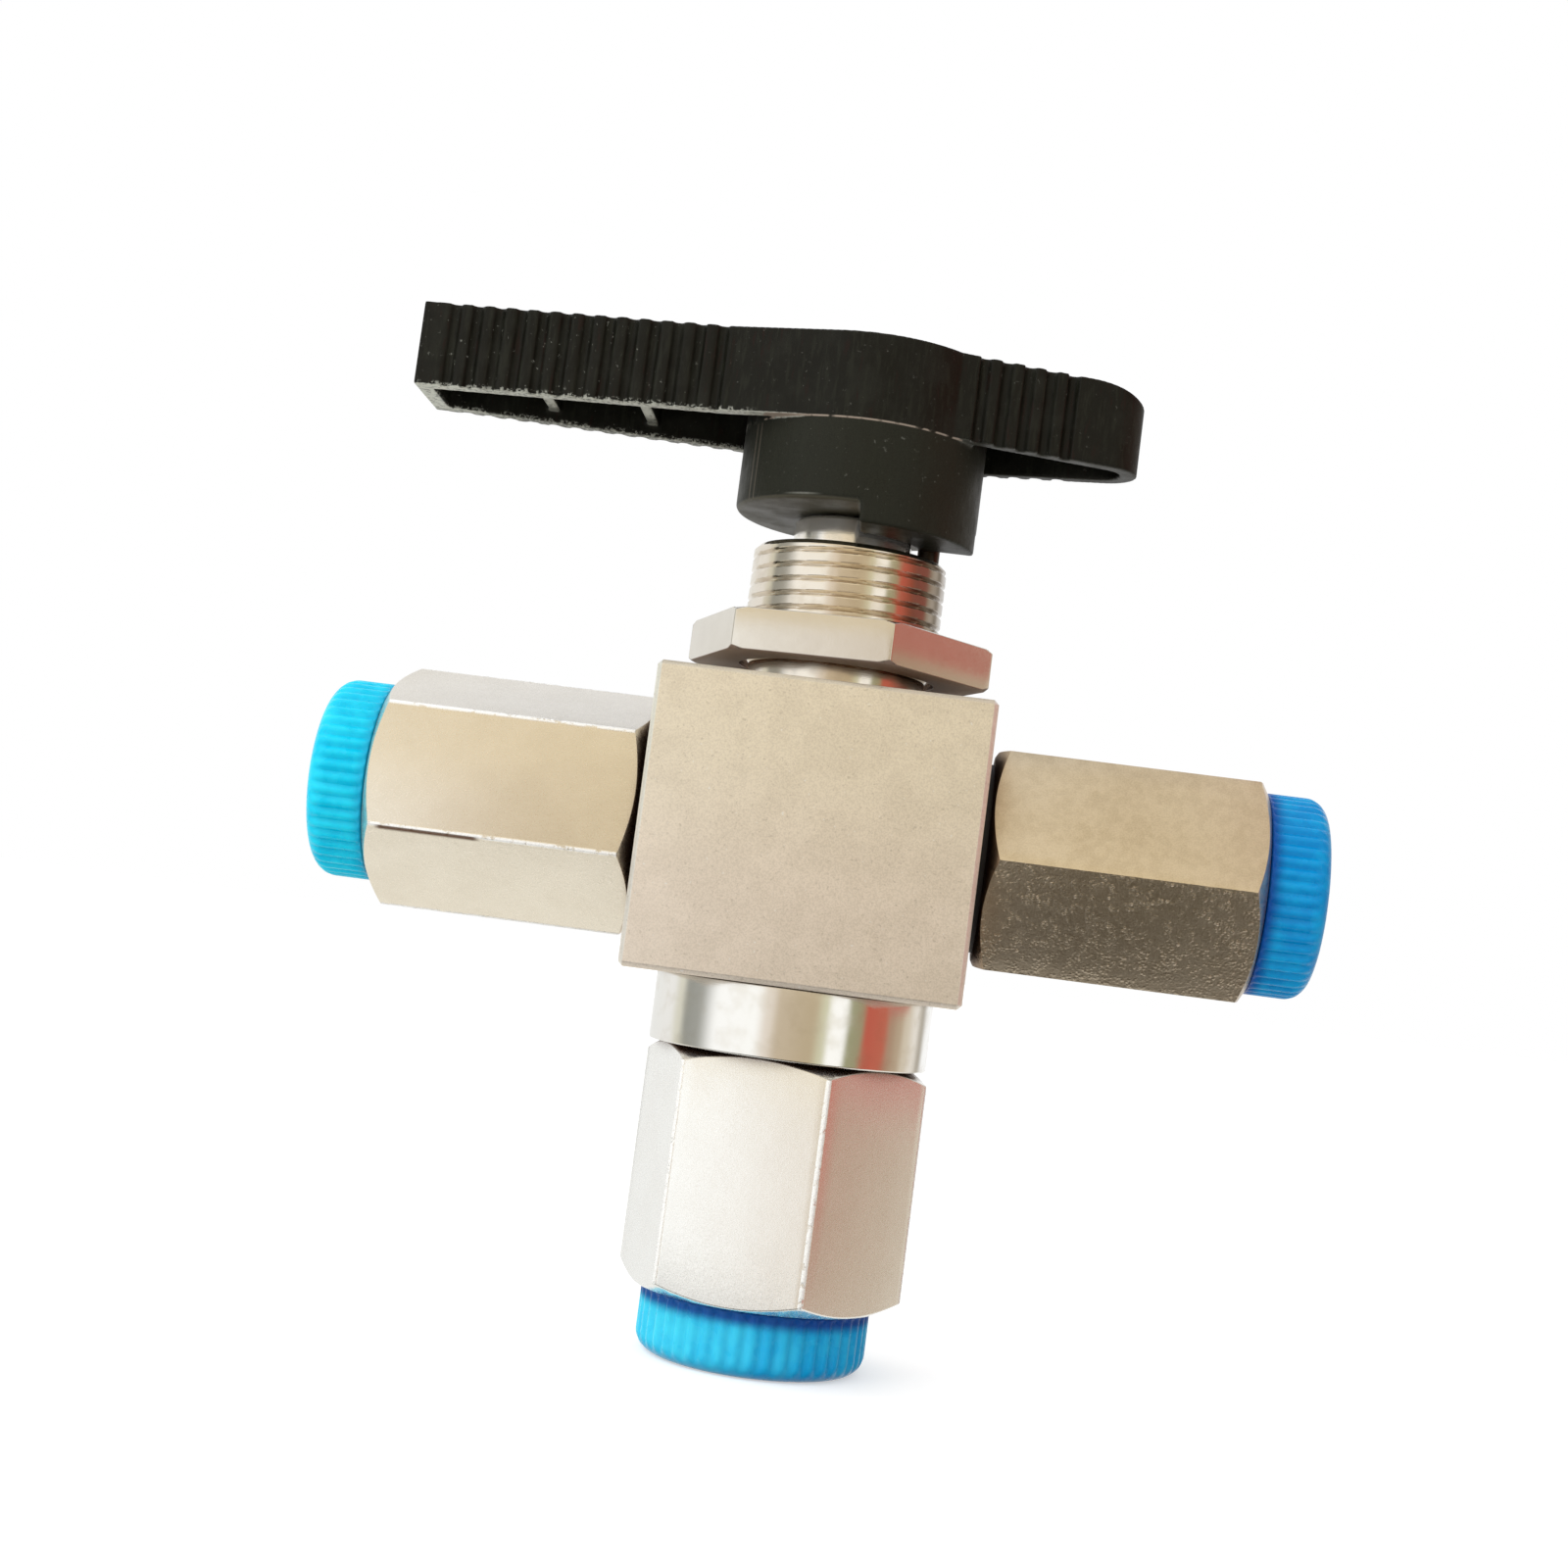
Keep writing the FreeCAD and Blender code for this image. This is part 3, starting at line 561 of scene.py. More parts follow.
@dataclass(frozen=True)
class BlastedSteel:
    """Stainless steel with a blasted skin: matte, warm and finely pitted."""

    name: str = "blasted_steel"
    upper: Colour = (0.90, 0.83, 0.69)
    lower: Colour = (0.92, 0.83, 0.73)
    shade: Colour = (0.58, 0.51, 0.41)
    grime_and_shade: Colour = (0.10, 0.07, 0.045)
    pit: Colour = (0.40, 0.34, 0.26)
    glint: Colour = (0.98, 0.97, 0.94)
    roughness: float = 0.44
    metal: float = 0.72
    grain_size: float = 0.15
    cloud_size: float = 3.0
    pit_size: float = 0.34
    glint_size: float = 0.5

    def make(self) -> Material:
        """Build the material.

        Returns:
            The material.
        """
        graph = Graph(self.name)
        fine = graph.noise(self.grain_size, 2.0, 0.6)
        broad = graph.noise(self.cloud_size, 2.0, 0.5)
        pits = graph.fit(graph.noise(self.pit_size, 2.0, 0.6), 0.60, 0.74)
        height = graph.parts()[2]
        tint = graph.blend(graph.fit(height, -21 * MM, -5 * MM), self.lower, self.upper)
        grain = graph.sum(graph.both(graph.fit(fine, 0.62, 0.36), 0.30),
                          graph.both(graph.fit(broad, 0.6, 0.4), 0.12))
        tint = graph.blend(grain, tint, self.shade)
        tint = graph.blend(graph.both(pits, 0.30), tint, self.pit)
        # Painted glints: sparse near-white specks in the colour.
        glints = graph.fit(graph.noise(self.glint_size, 2.0, 0.6), 0.67, 0.73)
        tint = graph.blend(graph.both(glints, 0.6), tint, self.glint)
        # Painted shade, with some grime: darker in narrow crevices.
        colour = graph.blend(graph.gap_shade_and_grime(1.6, 0.30, 0.80), tint, self.grime_and_shade)
        graph.raise_bumps(graph.sum(graph.both(fine, 0.7), graph.both(pits, -0.5)), 0.5, 0.03)
        graph.set(Base_Color=colour, Metallic=self.metal,
                  Roughness=graph.fit(fine, 0.3, 0.7, self.roughness - 0.05,
                                      self.roughness + 0.07))
        return graph.material


@dataclass(frozen=True)
class BarSteel:
    """Hexagon bar, blasted over its drawn faces, with its long edges worn and painted near white
    as a highlight.
    """

    name: str
    side: Side | None = None
    corner: float = 11.0
    light: Colour = (0.90, 0.87, 0.80)
    shade: Colour = (0.66, 0.61, 0.52)
    grime_and_shade: Colour = (0.15, 0.085, 0.055)
    roughness: float = 0.40
    metal: float = 0.8
    grain: float = 0.15
    grain_size: float = 0.14
    peel: float = 0.2
    peel_size: float = 0.9
    cloud_size: float = 3.5
    speckle: float = 0.15
    shaded_below: float = 0.0
    worn_edge_highlight: Colour = (1.0, 0.99, 0.96)
    rub_width: float = 0.16
    stretch: tuple[float, float] = (-37.0, -28.2)
    stretch_level: float = -16.8
    stretch_width: float = 0.34

    def make(self) -> Material:
        """Build the material.

        Returns:
            The material.
        """
        graph = Graph(self.name)
        fine = graph.noise(self.grain_size, 2.0, 0.6)
        peel = graph.noise(self.peel_size, 2.0, 0.5)
        broad = graph.noise(self.cloud_size, 2.0, 0.5)
        under = graph.facing()[2]
        specks = graph.both(graph.sum(graph.domes(0.30, 0.6), graph.domes(0.47, 0.45)),
                            graph.fit(under, -0.1, -0.4),
                            graph.fit(graph.noise(1.3, 2.0, 0.6), 0.36, 0.62, 0.15, 1.0))
        grain = graph.sum(graph.both(graph.fit(fine, 0.64, 0.36), self.grain),
                          graph.both(graph.fit(peel, 0.62, 0.38), self.grain * 0.7),
                          graph.both(graph.fit(broad, 0.65, 0.35), 0.14))
        tint = graph.blend(grain, self.light, self.shade)
        # Painted shade, with some grime, in narrow crevices.
        grime_and_shade = graph.gap_shade_and_grime(1.8, 0.30, 0.86)
        metal = self.metal
        roughness = graph.fit(fine, 0.3, 0.7, self.roughness - 0.06, self.roughness + 0.06)
        # Painted shade on faces that look down, which are also made less metallic and rougher
        # there.
        if self.shaded_below:
            below = graph.both(graph.fit(under, -0.15, -0.6), self.shaded_below)
            grime_and_shade = graph.sum(grime_and_shade, below, way="MAXIMUM")
            metal = graph.fit(below, 0.5, 0.85, self.metal, 0.0)
            roughness = graph.sum(roughness, graph.fit(below, 0.5, 0.85, 0.0, 0.4))
        colour = graph.blend(grime_and_shade, tint, self.grime_and_shade)
        height = graph.sum(graph.both(fine, self.grain), graph.both(peel, self.peel),
                           graph.both(specks, self.speckle))
        if self.side:
            radius = self.squared_radius(graph)
            # Worn long edges, painted near white and less metallic: wear and painted highlight.
            wear_and_highlight = self.worn_lit_edges(graph, radius)
            colour = graph.blend(wear_and_highlight, colour, self.worn_edge_highlight)
            if self.side is Side.LEFT:
                colour = graph.blend(self.brown_stretch(graph, radius), colour, self.grime_and_shade)
            height = graph.sum(height, graph.both(wear_and_highlight, graph.noise(0.35, 2.0, 0.7)))
            metal = graph.fit(wear_and_highlight, 0.0, 1.0, self.metal, 0.2)
        graph.raise_bumps(height, 0.8, 0.08)
        graph.set(Base_Color=colour, Metallic=metal, Roughness=roughness)
        return graph.material

    def squared_radius(self, graph: Graph) -> Socket:
        """Square of the distance from the bar's axis, in metres.

        Args:
            graph: The material's node tree.

        Returns:
            The square.
        """
        x, y, z = graph.parts()
        across = x if self.side is Side.BOTTOM else graph.sum(z, -RUN_LEVEL * MM)
        return graph.sum(graph.both(y, y), graph.both(across, across))

    def within_corner(self, width: float) -> float:
        """Squared radius a width in from the corner, in metres."""
        return ((self.corner - width) * MM) ** 2

    def worn_lit_edges(self, graph: Graph, radius: Socket) -> Socket:
        """Where the bar's long edges are worn and painted near white as a highlight, by the
        squared radius.
        """
        outer, inner = self.within_corner(0.0), self.within_corner(self.rub_width)
        return graph.both(graph.fit(radius, inner, inner * 0.4 + outer * 0.6),
                          graph.fit(graph.noise(0.7, 3.0, 0.7), 0.36, 0.46, 0.3, 1.0))

    def brown_stretch(self, graph: Graph, radius: Socket) -> Socket:
        """Where the left bar is brown, just below the bright worn line of its front edge.

        Args:
            graph: The material's node tree.
            radius: Squared distance from the bar's axis.

        Returns:
            The share.
        """
        x, y, z = graph.parts()
        level = self.stretch_level
        return graph.both(graph.within(x, *self.stretch, 0.4), graph.fit(y, -8 * MM, -9 * MM),
                          graph.fit(radius, self.within_corner(self.stretch_width),
                                    self.within_corner(self.rub_width)),
                          graph.fit(z, level * MM, (level - 0.1) * MM))


@dataclass(frozen=True)
class TurnedSteel:
    """Bright steel off the lathe, with fine rings round the stem axis."""

    name: str = "turned_steel"
    colour: Colour = (0.92, 0.91, 0.88)
    smeared: Colour = (0.76, 0.72, 0.64)
    grime_and_shade: Colour = (0.12, 0.08, 0.05)
    roughness: float = 0.13
    metal: float = 1.0
    ring_size: float = 0.06
    smear_size: float = 1.8
    warp: float = 0.0
    warp_size: float = 4.5
    gap_shade: float = 1.0
    shaded_right: float = 0.0

    def make(self) -> Material:
        """Build the material.

        Returns:
            The material.
        """
        graph = Graph(self.name)
        rings = graph.noise(self.ring_size, 2.0, 0.6, graph.stretched(0.02, 0.02, 1.0))
        smear = graph.noise(self.smear_size, 2.0, 0.5)
        colour = graph.blend(graph.fit(smear, 0.45, 0.7, 0.0, 0.35), self.colour, self.smeared)
        # Painted shade, with some grime, in narrow crevices.
        colour = graph.blend(graph.both(graph.gap_shade_and_grime(1.2, 0.22, 0.62), self.gap_shade), colour,
                             self.grime_and_shade)
        # Painted shade towards +X, for the neck's right side under the handle's skirt.
        if self.shaded_right:
            right = graph.fit(graph.parts()[0], 4.8 * MM, 6.4 * MM)
            colour = graph.blend(graph.both(right, self.shaded_right), colour, self.grime_and_shade)
        height = graph.both(rings, 0.35)
        if self.warp:
            height = graph.sum(
                height, graph.both(graph.noise(self.warp_size, 1.0, 0.4), self.warp))
        graph.raise_bumps(height, 0.3, 0.02)
        graph.set(Base_Color=colour, Metallic=self.metal,
                  Roughness=graph.fit(smear, 0.3, 0.7, self.roughness - 0.03,
                                      self.roughness + 0.07))
        return graph.material


@dataclass(frozen=True)
class MouldedNylon:
    """Black moulded nylon, with pale rubbed rims below and a parting line round the hub."""

    name: str = "black_nylon"
    black: Colour = (0.007, 0.007, 0.0045)
    grey: Colour = (0.018, 0.019, 0.012)
    clouded: Colour = (0.013, 0.013, 0.009)
    reddish: Colour = (0.016, 0.006, 0.004)
    bounce_lit_underside: Colour = (0.085, 0.078, 0.055)
    rim: Colour = (0.62, 0.62, 0.53)
    line: Colour = (0.30, 0.24, 0.19)
    glint: Colour = (0.42, 0.42, 0.36)
    rim_level: float = 22.9
    rim_reach: float = 1.7
    seam_places: tuple[float, float] = (-9.35, -8.95)
    grain_size: float = 0.11
    cloud_size: float = 3.0
    chip_size: float = 0.45
    streak_size: float = 0.5

    def make(self) -> Material:
        """Build the material.

        Returns:
            The material.
        """
        graph = Graph(self.name)
        x, y, z = graph.parts()
        down = graph.fit(graph.facing()[2], -0.35, -0.75)
        grain = graph.noise(self.grain_size, 2.0, 0.7)
        cloud = graph.noise(self.cloud_size, 3.0, 0.6)
        ragged = graph.noise(self.chip_size, 3.0, 0.7)
        front = graph.fit(y, -2 * MM, -4 * MM)
        streaks = graph.noise(self.streak_size, 3.0, 0.65, graph.stretched(1.0, 1.0, 0.16))
        tint = graph.blend(graph.fit(cloud, 0.42, 0.72), self.black, self.clouded)
        tint = graph.blend(graph.both(graph.fit(streaks, 0.50, 0.68), 0.6), tint, self.grey)
        tint = graph.blend(graph.both(graph.fit(streaks, 0.42, 0.30), 0.6), tint, self.reddish)
        low = graph.both(graph.within(z, 10.0, self.rim_level, 0.2), graph.within(x, -12.0, 12.0),
                         graph.fit(grain, 0.3, 0.65, 0.5, 1.0))
        tint = graph.blend(low, tint, self.grey)
        # Painted light: the hub's underside is paler, as if lit by the bright bolt below.
        under = graph.both(down, graph.within(z, 15.0, 16.2, 0.1))
        tint = graph.blend(graph.both(under, 0.8), tint, self.bounce_lit_underside)
        rims = graph.both(down, graph.within(z, self.rim_level - 0.5,
                                             self.rim_level + self.rim_reach, 0.1),
                          graph.fit(ragged, 0.32, 0.52, 0.25, 1.0),
                          graph.fit(x, -38 * MM, -33 * MM, 1.0, 0.72),
                          graph.fit(graph.sum(y, graph.both(x, 0.05)), 1 * MM, 3 * MM, 1.0, 0.35),
                          graph.fit(x, -4 * MM, 10 * MM, 1.0, 0.08))
        colour = graph.blend(rims, tint, self.rim)
        loops = graph.both(graph.within(z, self.rim_level - 0.3, self.rim_level + 0.35, 0.15),
                           graph.fit(ragged, 0.50, 0.60), graph.fit(x, -9 * MM, -12 * MM))
        colour = graph.blend(graph.both(loops, 0.5), colour, self.rim)
        parting = graph.both(graph.within(z, self.rim_level - 0.10, self.rim_level + 0.05, 0.05),
                             graph.within(x, -8.8, 8.6), front,
                             graph.fit(graph.noise(1.2, 2.0, 0.6), 0.36, 0.50))
        seams = [graph.within(x, seam - 0.05, seam + 0.05, 0.04) for seam in self.seam_places]
        seam = graph.both(graph.sum(*seams), graph.within(z, 15.9, 22.6), front)
        colour = graph.blend(graph.sum(parting, graph.both(seam, 0.2), way="MAXIMUM"), colour,
                             self.line)
        # Painted highlight along the hub's lower front rim, and painted glints as pale flecks.
        rim_highlight = graph.both(graph.within(z, 15.75, 16.1, 0.1), graph.within(x, -5.4, -3.4, 1.0),
                            front, graph.fit(graph.facing()[2], -0.6, -0.2),
                            graph.fit(ragged, 0.3, 0.5, 0.5, 1.0))
        glint_flecks = graph.both(graph.fit(graph.noise(0.5, 3.0, 0.7), 0.64, 0.76),
                            graph.fit(x, -14 * MM, -20 * MM, 0.35, 1.0))
        colour = graph.blend(graph.sum(graph.both(rim_highlight, 0.6), graph.both(glint_flecks, 0.45),
                                       way="MAXIMUM"), colour, self.glint)
        height = graph.sum(graph.both(grain, 0.5), graph.both(ragged, 0.7),
                           graph.both(parting, 0.8), graph.both(streaks, 0.8))
        graph.raise_bumps(height, 0.5, 0.05)
        graph.set(Base_Color=colour, Metallic=0.0,
                  Roughness=graph.fit(cloud, 0.3, 0.7, 0.40, 0.55), Specular_IOR_Level=0.18)
        return graph.material


@dataclass(frozen=True)
class BluePlastic:
    """Blue polyethylene: waxy, slightly translucent, with soft mould marks."""

    name: str
    deep: Colour
    pale: Colour
    shadow_band: tuple[int, float, float, float]
    lit_left: bool = False
    shade: Colour = (0.0, 0.035, 0.30)
    cloud_size: float = 2.2
    grain_size: float = 0.35

    def make(self) -> Material:
        """Build the material.

        Returns:
            The material.
        """
        graph = Graph(self.name)
        cloud = graph.noise(self.cloud_size, 2.0, 0.55)
        places = graph.parts()
        share = graph.fit(cloud, 0.35, 0.7)
        # Painted light: paler towards -X, as if lit from the left.
        if self.lit_left:
            share = graph.sum(graph.both(share, 0.3),
                              graph.fit(places[0], 8.0 * MM, -9.0 * MM, 0.0, 0.7))
        colour = graph.blend(share, self.deep, self.pale)
        # Painted shadow band next to the port's face, and painted shade with some grime in narrow
        # crevices.
        axis, far, near, strength = self.shadow_band
        shaded = graph.both(graph.fit(places[axis], far * MM, near * MM), strength)
        gap_shade_and_grime = graph.both(graph.gap_shade_and_grime(2.0, 0.40, 0.85), 0.32)
        colour = graph.blend(graph.sum(shaded, gap_shade_and_grime, way="MAXIMUM"), colour, self.shade)
        graph.raise_bumps(graph.noise(self.grain_size, 2.0, 0.6), 0.3, 0.03)
        graph.set(Base_Color=colour, Metallic=0.0,
                  Roughness=graph.fit(cloud, 0.3, 0.7, 0.22, 0.34), Specular_IOR_Level=0.22,
                  Subsurface_Weight=0.12, Subsurface_Radius=(0.2, 0.6, 1.0),
                  Subsurface_Scale=0.0012)
        return graph.material


@dataclass(frozen=True)
class CloudedFinish:
    """A plain material in two close shades: the PTFE of the seats, the rubber of the seals.

    The noise of the clouds and of the grain is given by its size, detail and roughness.
    """

    name: str
    first: Colour
    second: Colour
    cloud: tuple[float, float, float]
    grain: tuple[float, float, float]
    bump: float
    roughness: float

    def make(self) -> Material:
        """Build the material.

        Returns:
            The material.
        """
        graph = Graph(self.name)
        colour = graph.blend(graph.noise(*self.cloud), self.first, self.second)
        graph.raise_bumps(graph.noise(*self.grain), self.bump, 0.01)
        graph.set(Base_Color=colour, Roughness=self.roughness)
        return graph.material


class Finishes:
    """All the materials of the valve, each made once."""

    def __init__(self) -> None:
        """Make the materials."""
        self.block = BlastedSteel().make()
        # A lighter copy of the blasted steel for the block's front chamfers: a painted highlight.
        self.front_chamfer_lit = BlastedSteel("front_chamfer_lit_steel", (0.96, 0.95, 0.86),
                                       (0.96, 0.92, 0.86), (0.74, 0.72, 0.63)).make()
        self.bars = {
            Side.LEFT: BarSteel("left_bar_steel", Side.LEFT, 11.0, (0.92, 0.86, 0.75),
                                (0.74, 0.67, 0.55), roughness=0.32, metal=0.93, grain=0.10,
                                peel=0.12).make(),
            Side.RIGHT: BarSteel("right_bar_steel", light=(0.86, 0.77, 0.62),
                                 shade=(0.58, 0.49, 0.35), roughness=0.36, metal=1.0, grain=0.28,
                                 speckle=0.5, shaded_below=0.38).make(),
            Side.BOTTOM: BarSteel("bottom_bar_steel", Side.BOTTOM, 12.82, (0.98, 0.98, 0.96),
                                  (0.84, 0.81, 0.76), roughness=0.24, metal=0.88, grain=0.07,
                                  speckle=0.0, peel=0.12).make(),
        }
        self.collar = TurnedSteel("collar_steel", roughness=0.10, warp=1.2, gap_shade=0.8).make()
        self.neck = TurnedSteel("neck_steel", (0.86, 0.80, 0.71), (0.64, 0.56, 0.45),
                                gap_shade=0.15, shaded_right=0.66).make()
        self.bolt = TurnedSteel("bolt_steel", (0.98, 0.95, 0.90), (0.86, 0.79, 0.68),
                                roughness=0.12, metal=0.85, gap_shade=0.0).make()
        # The stop pin is painted near black: painted shade under the handle's skirt.
        self.pin = TurnedSteel("pin_steel", (0.06, 0.05, 0.04), (0.04, 0.03, 0.025),
                               roughness=0.35).make()
        self.nut = BarSteel("nut_steel", light=(0.80, 0.76, 0.69), shade=(0.64, 0.58, 0.50),
                            roughness=0.20, metal=0.97, grain=0.08, speckle=0.0, peel=0.08,
                            shaded_below=0.9).make()
        self.turned = TurnedSteel().make()
        self.nylon = MouldedNylon().make()
        # Lit and shaded copies of one blue plastic: the left cap is painted paler as if lit, and
        # the right cap deeper as if shaded.
        self.caps = {
            Side.LEFT: BluePlastic("left_cap_lit_blue", (0.0, 0.58, 0.82), (0.01, 0.68, 0.90),
                                   shadow_band=(0, -40.2, -38.6, 0.5)).make(),
            Side.RIGHT: BluePlastic("right_cap_shaded_blue", (0.0, 0.26, 0.60), (0.0, 0.34, 0.68),
                                    shadow_band=(0, 40.4, 39.0, 0.85)).make(),
            Side.BOTTOM: BluePlastic("bottom_cap_blue", (0.0, 0.38, 0.75), (0.06, 0.72, 0.94),
                                     shadow_band=(2, -54.9, -53.8, 0.9), lit_left=True).make(),
        }
        self.ptfe = CloudedFinish("ptfe", (0.80, 0.80, 0.76), (0.88, 0.88, 0.85),
                                  (1.5, 2.0, 0.5), (0.2, 2.0, 0.5), 0.1, 0.35).make()
        self.rubber = CloudedFinish("seal_rubber", (0.012, 0.012, 0.012), (0.03, 0.03, 0.03),
                                    (0.8, 3.0, 0.6), (0.12, 2.0, 0.6), 0.2, 0.6).make()

    def for_slot(self, slot: str) -> Material:
        """The material of a plain CAD node, by the record's slot."""
        return {
            "blasted_steel": self.block, "hexagon_steel": self.bars[Side.LEFT],
            "satin_steel": self.nut, "turned_steel": self.turned, "ptfe": self.ptfe,
            "seal_rubber": self.rubber, "black_nylon": self.nylon,
            "blue_plastic": self.caps[Side.BOTTOM],
        }[slot]


def fasten(piece: Piece, body: str, slot: str, *nodes: str) -> None:
    """Make a finished piece ride on its body.

    Args:
        piece: The piece, dressed.
        body: The CAD body that it moves with.
        slot: The record's material slot; not used.
        nodes: The CAD nodes that it stands for.
    """
    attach(piece, body)
    if nodes:
        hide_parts(*nodes)
    LOG.info("%s: %d vertices", piece.name, len(piece.data.vertices))


# Pieces


@dataclass
class Block:
    """The block with its threaded neck."""

    frame: dict
    finishes: Finishes
    major_radius: float = 8.73
    relief_radius: float = 7.95
    relief_height: float = 2.4
    core_radius: float = 7.0
    cut_radius: float = 11.0
    cut_top: float = 14.0
    top_bevel: float = 0.4
    thread: Thread = Thread(1.27, 0.40, 0.32)

    def build(self) -> None:
        """Make the block and the thread, and dress them."""
        block = copied("body_block", "block_shell", self.frame)
        cut(block, turned("neck_cut", [
            (self.core_radius, 0.02), (self.cut_radius, 0.02), (self.cut_radius, self.cut_top),
            (self.core_radius, self.cut_top)]))
        dress(block, self.finishes.block, self.finishes.neck, self.finishes.front_chamfer_lit)
        dress_part(block, 1, lambda face: face.center.z > 0.1 * MM)
        # The block's front chamfers take the lighter copy: a painted highlight.
        dress_part(block, 2, lambda face: face.center.z < 0 and abs(
            face.normal.x * face.normal.y) > 0.2 and face.center.y < -12.0 * MM)
        ease_edges(block, 0.06)
        smooth(block)
        fasten(block, "valve", "blasted_steel", "body_block")
        neck = turned("neck_thread", self.neck_outline(), steps=192)
        reshape(neck, self.threaded)
        dress(neck, self.finishes.neck)
        smooth(neck, 50)
        fasten(neck, "valve", "turned_steel")

    def neck_outline(self) -> Outline:
        """Section of the neck's outer wall, with close points where the thread runs.

        Returns:
            Its corners.
        """
        step = self.thread.pitch / 18
        start = self.relief_height - 0.3
        count = round((NECK_TOP - start) / step)
        wall = [(self.major_radius, start + (NECK_TOP - start) * n / count)
                for n in range(count + 1)]
        foot = [(self.core_radius - 0.02, 0.01), (self.relief_radius, 0.01),
                (self.relief_radius, self.relief_height - 0.35)]
        return foot + wall + [(self.core_radius - 0.02, NECK_TOP - 0.01)]

    def threaded(self, radius: float, angle: float, height: float) -> float:
        """Radius of the neck's surface once the thread is cut.

        Args:
            radius: Radius of the plain wall.
            angle: Angle round the axis in radians.
            height: Height on the neck.

        Returns:
            The radius.
        """
        if radius < self.relief_radius + 0.1:
            return radius
        cut_radius = self.major_radius - self.thread.drop(angle, height)
        top = self.major_radius + NECK_TOP - height - self.top_bevel
        foot = self.relief_radius + (height - self.relief_height + 0.35) * 1.2
        return min(cut_radius, top, max(foot, self.relief_radius))


@dataclass
class Neckware:
    """The panel nut on the neck and the packing bolt in its top."""

    frame: dict
    finishes: Finishes

    def build(self) -> None:
        """Make and dress the two pieces."""
        for node, name, finish, width, segments, body, slot in (
                ("panel_nut", "nut_shell", self.finishes.nut, 0.12, 3, "nut", "satin_steel"),
                ("packing_bolt", "bolt_shell", self.finishes.bolt, 0.08, 2, "valve",
                 "turned_steel")):
            piece = copied(node, name, self.frame)
            dress(piece, finish)
            ease_edges(piece, width, segments)
            smooth(piece)
            fasten(piece, body, slot, node)


@dataclass
class Connector:
    """One end connector with its threaded pipe port."""

    frame: dict
    finishes: Finishes
    side: Side
    face: float
    mouth: float
    depth: float
    mouth_bevel: float = 0.9
    pipe_taper: float = 0.03125
    wall: float = 0.9
    collar_bottom: float = -32.1
    collar_radius: float = 12.35
    collar_core: float = 10.9
    edge: float = 0.30
    thread: Thread = Thread(1.41, 0.8)

    def build(self) -> None:
        """Make the connector with its port cut open, and the threaded wall inside."""
        node = self.side.value + "_connector"
        shell = copied(node, self.side.value + "_hexagon", self.frame)
        floor = self.face - self.depth
        narrow = self.mouth - self.pipe_taper * self.depth
        bore = turned("port_cut", [(0.0, floor + 0.02), (narrow + self.wall, floor + 0.02),
                                   (self.mouth + self.wall, self.face - self.mouth_bevel),
                                   (self.mouth + self.wall, self.face + 1.0),
                                   (0.0, self.face + 1.0)])
        self.side.stand(bore)
        cut(shell, bore)
        if self.side is Side.BOTTOM:
            self.add_collar(shell)
        dress(shell, self.finishes.bars[self.side])
        ease_long_edges(shell, self.edge, 2.0)
        smooth(shell)
        fasten(shell, "valve", "hexagon_steel", node)
        wall = turned(self.side.value + "_port_thread", self.wall_outline(floor), steps=128)
        reshape(wall, self.threaded)
        self.side.stand(wall)
        dress(wall, self.finishes.turned)
        smooth(wall, 50)
        fasten(wall, "valve", "turned_steel")

    def add_collar(self, shell: Piece) -> None:
        """Cut the round collar off the bar and turn it as a bright ring of its own.

        Args:
            shell: The bar of the bottom connector.
        """
        low, high = self.collar_bottom + 0.03, BLOCK_BOTTOM - 0.02
        cut(shell, turned("collar_cut", [(self.collar_core, low), (15.0, low),
                                         (15.0, high + 1.0), (self.collar_core, high + 1.0)]))
        ring = turned("bottom_collar", [(self.collar_core - 0.02, low)]
                      + arc((self.collar_radius - 0.15, low + 0.15), 0.15, -90, 0, 4)
                      + arc((self.collar_radius - 0.15, high - 0.15), 0.15, 0, 90, 4)
                      + [(self.collar_core - 0.02, high)])
        dress(ring, self.finishes.collar)
        smooth(ring, 40)
        fasten(ring, "valve", "turned_steel")

    def wall_outline(self, floor: float) -> Outline:
        """Section of the port's threaded wall.

        Args:
            floor: Height of the port's floor along its axis.

        Returns:
            Its corners.
        """
        top = self.face - self.mouth_bevel
        step = self.thread.pitch / 14
        count = round((top - floor) / step)
        inner = [(self.mouth - self.pipe_taper * (self.face - floor) * (1 - n / count),
                  floor + (top - floor) * n / count) for n in range(count + 1)]
        outer = self.mouth + self.wall
        return inner + [(self.mouth + self.mouth_bevel - 0.08, self.face - 0.08),
                        (outer + 0.02, self.face - 0.01),
                        (outer - self.pipe_taper * self.depth + 0.02, floor)]

    def threaded(self, radius: float, angle: float, height: float) -> float:
        """Radius of the port's wall once the thread is cut.

        Args:
            radius: Radius of the plain wall.
            angle: Angle round the axis in radians.
            height: Height along the port's axis.

        Returns:
            The radius.
        """
        top = self.face - self.mouth_bevel
        if radius > self.mouth + 0.05 or height > top - 0.02:
            return radius
        share = ramp_up(height, self.face - self.depth, self.face - self.depth + 2.0)
        return radius + (self.thread.depth - self.thread.drop(-angle, height)) * 0.9 * share


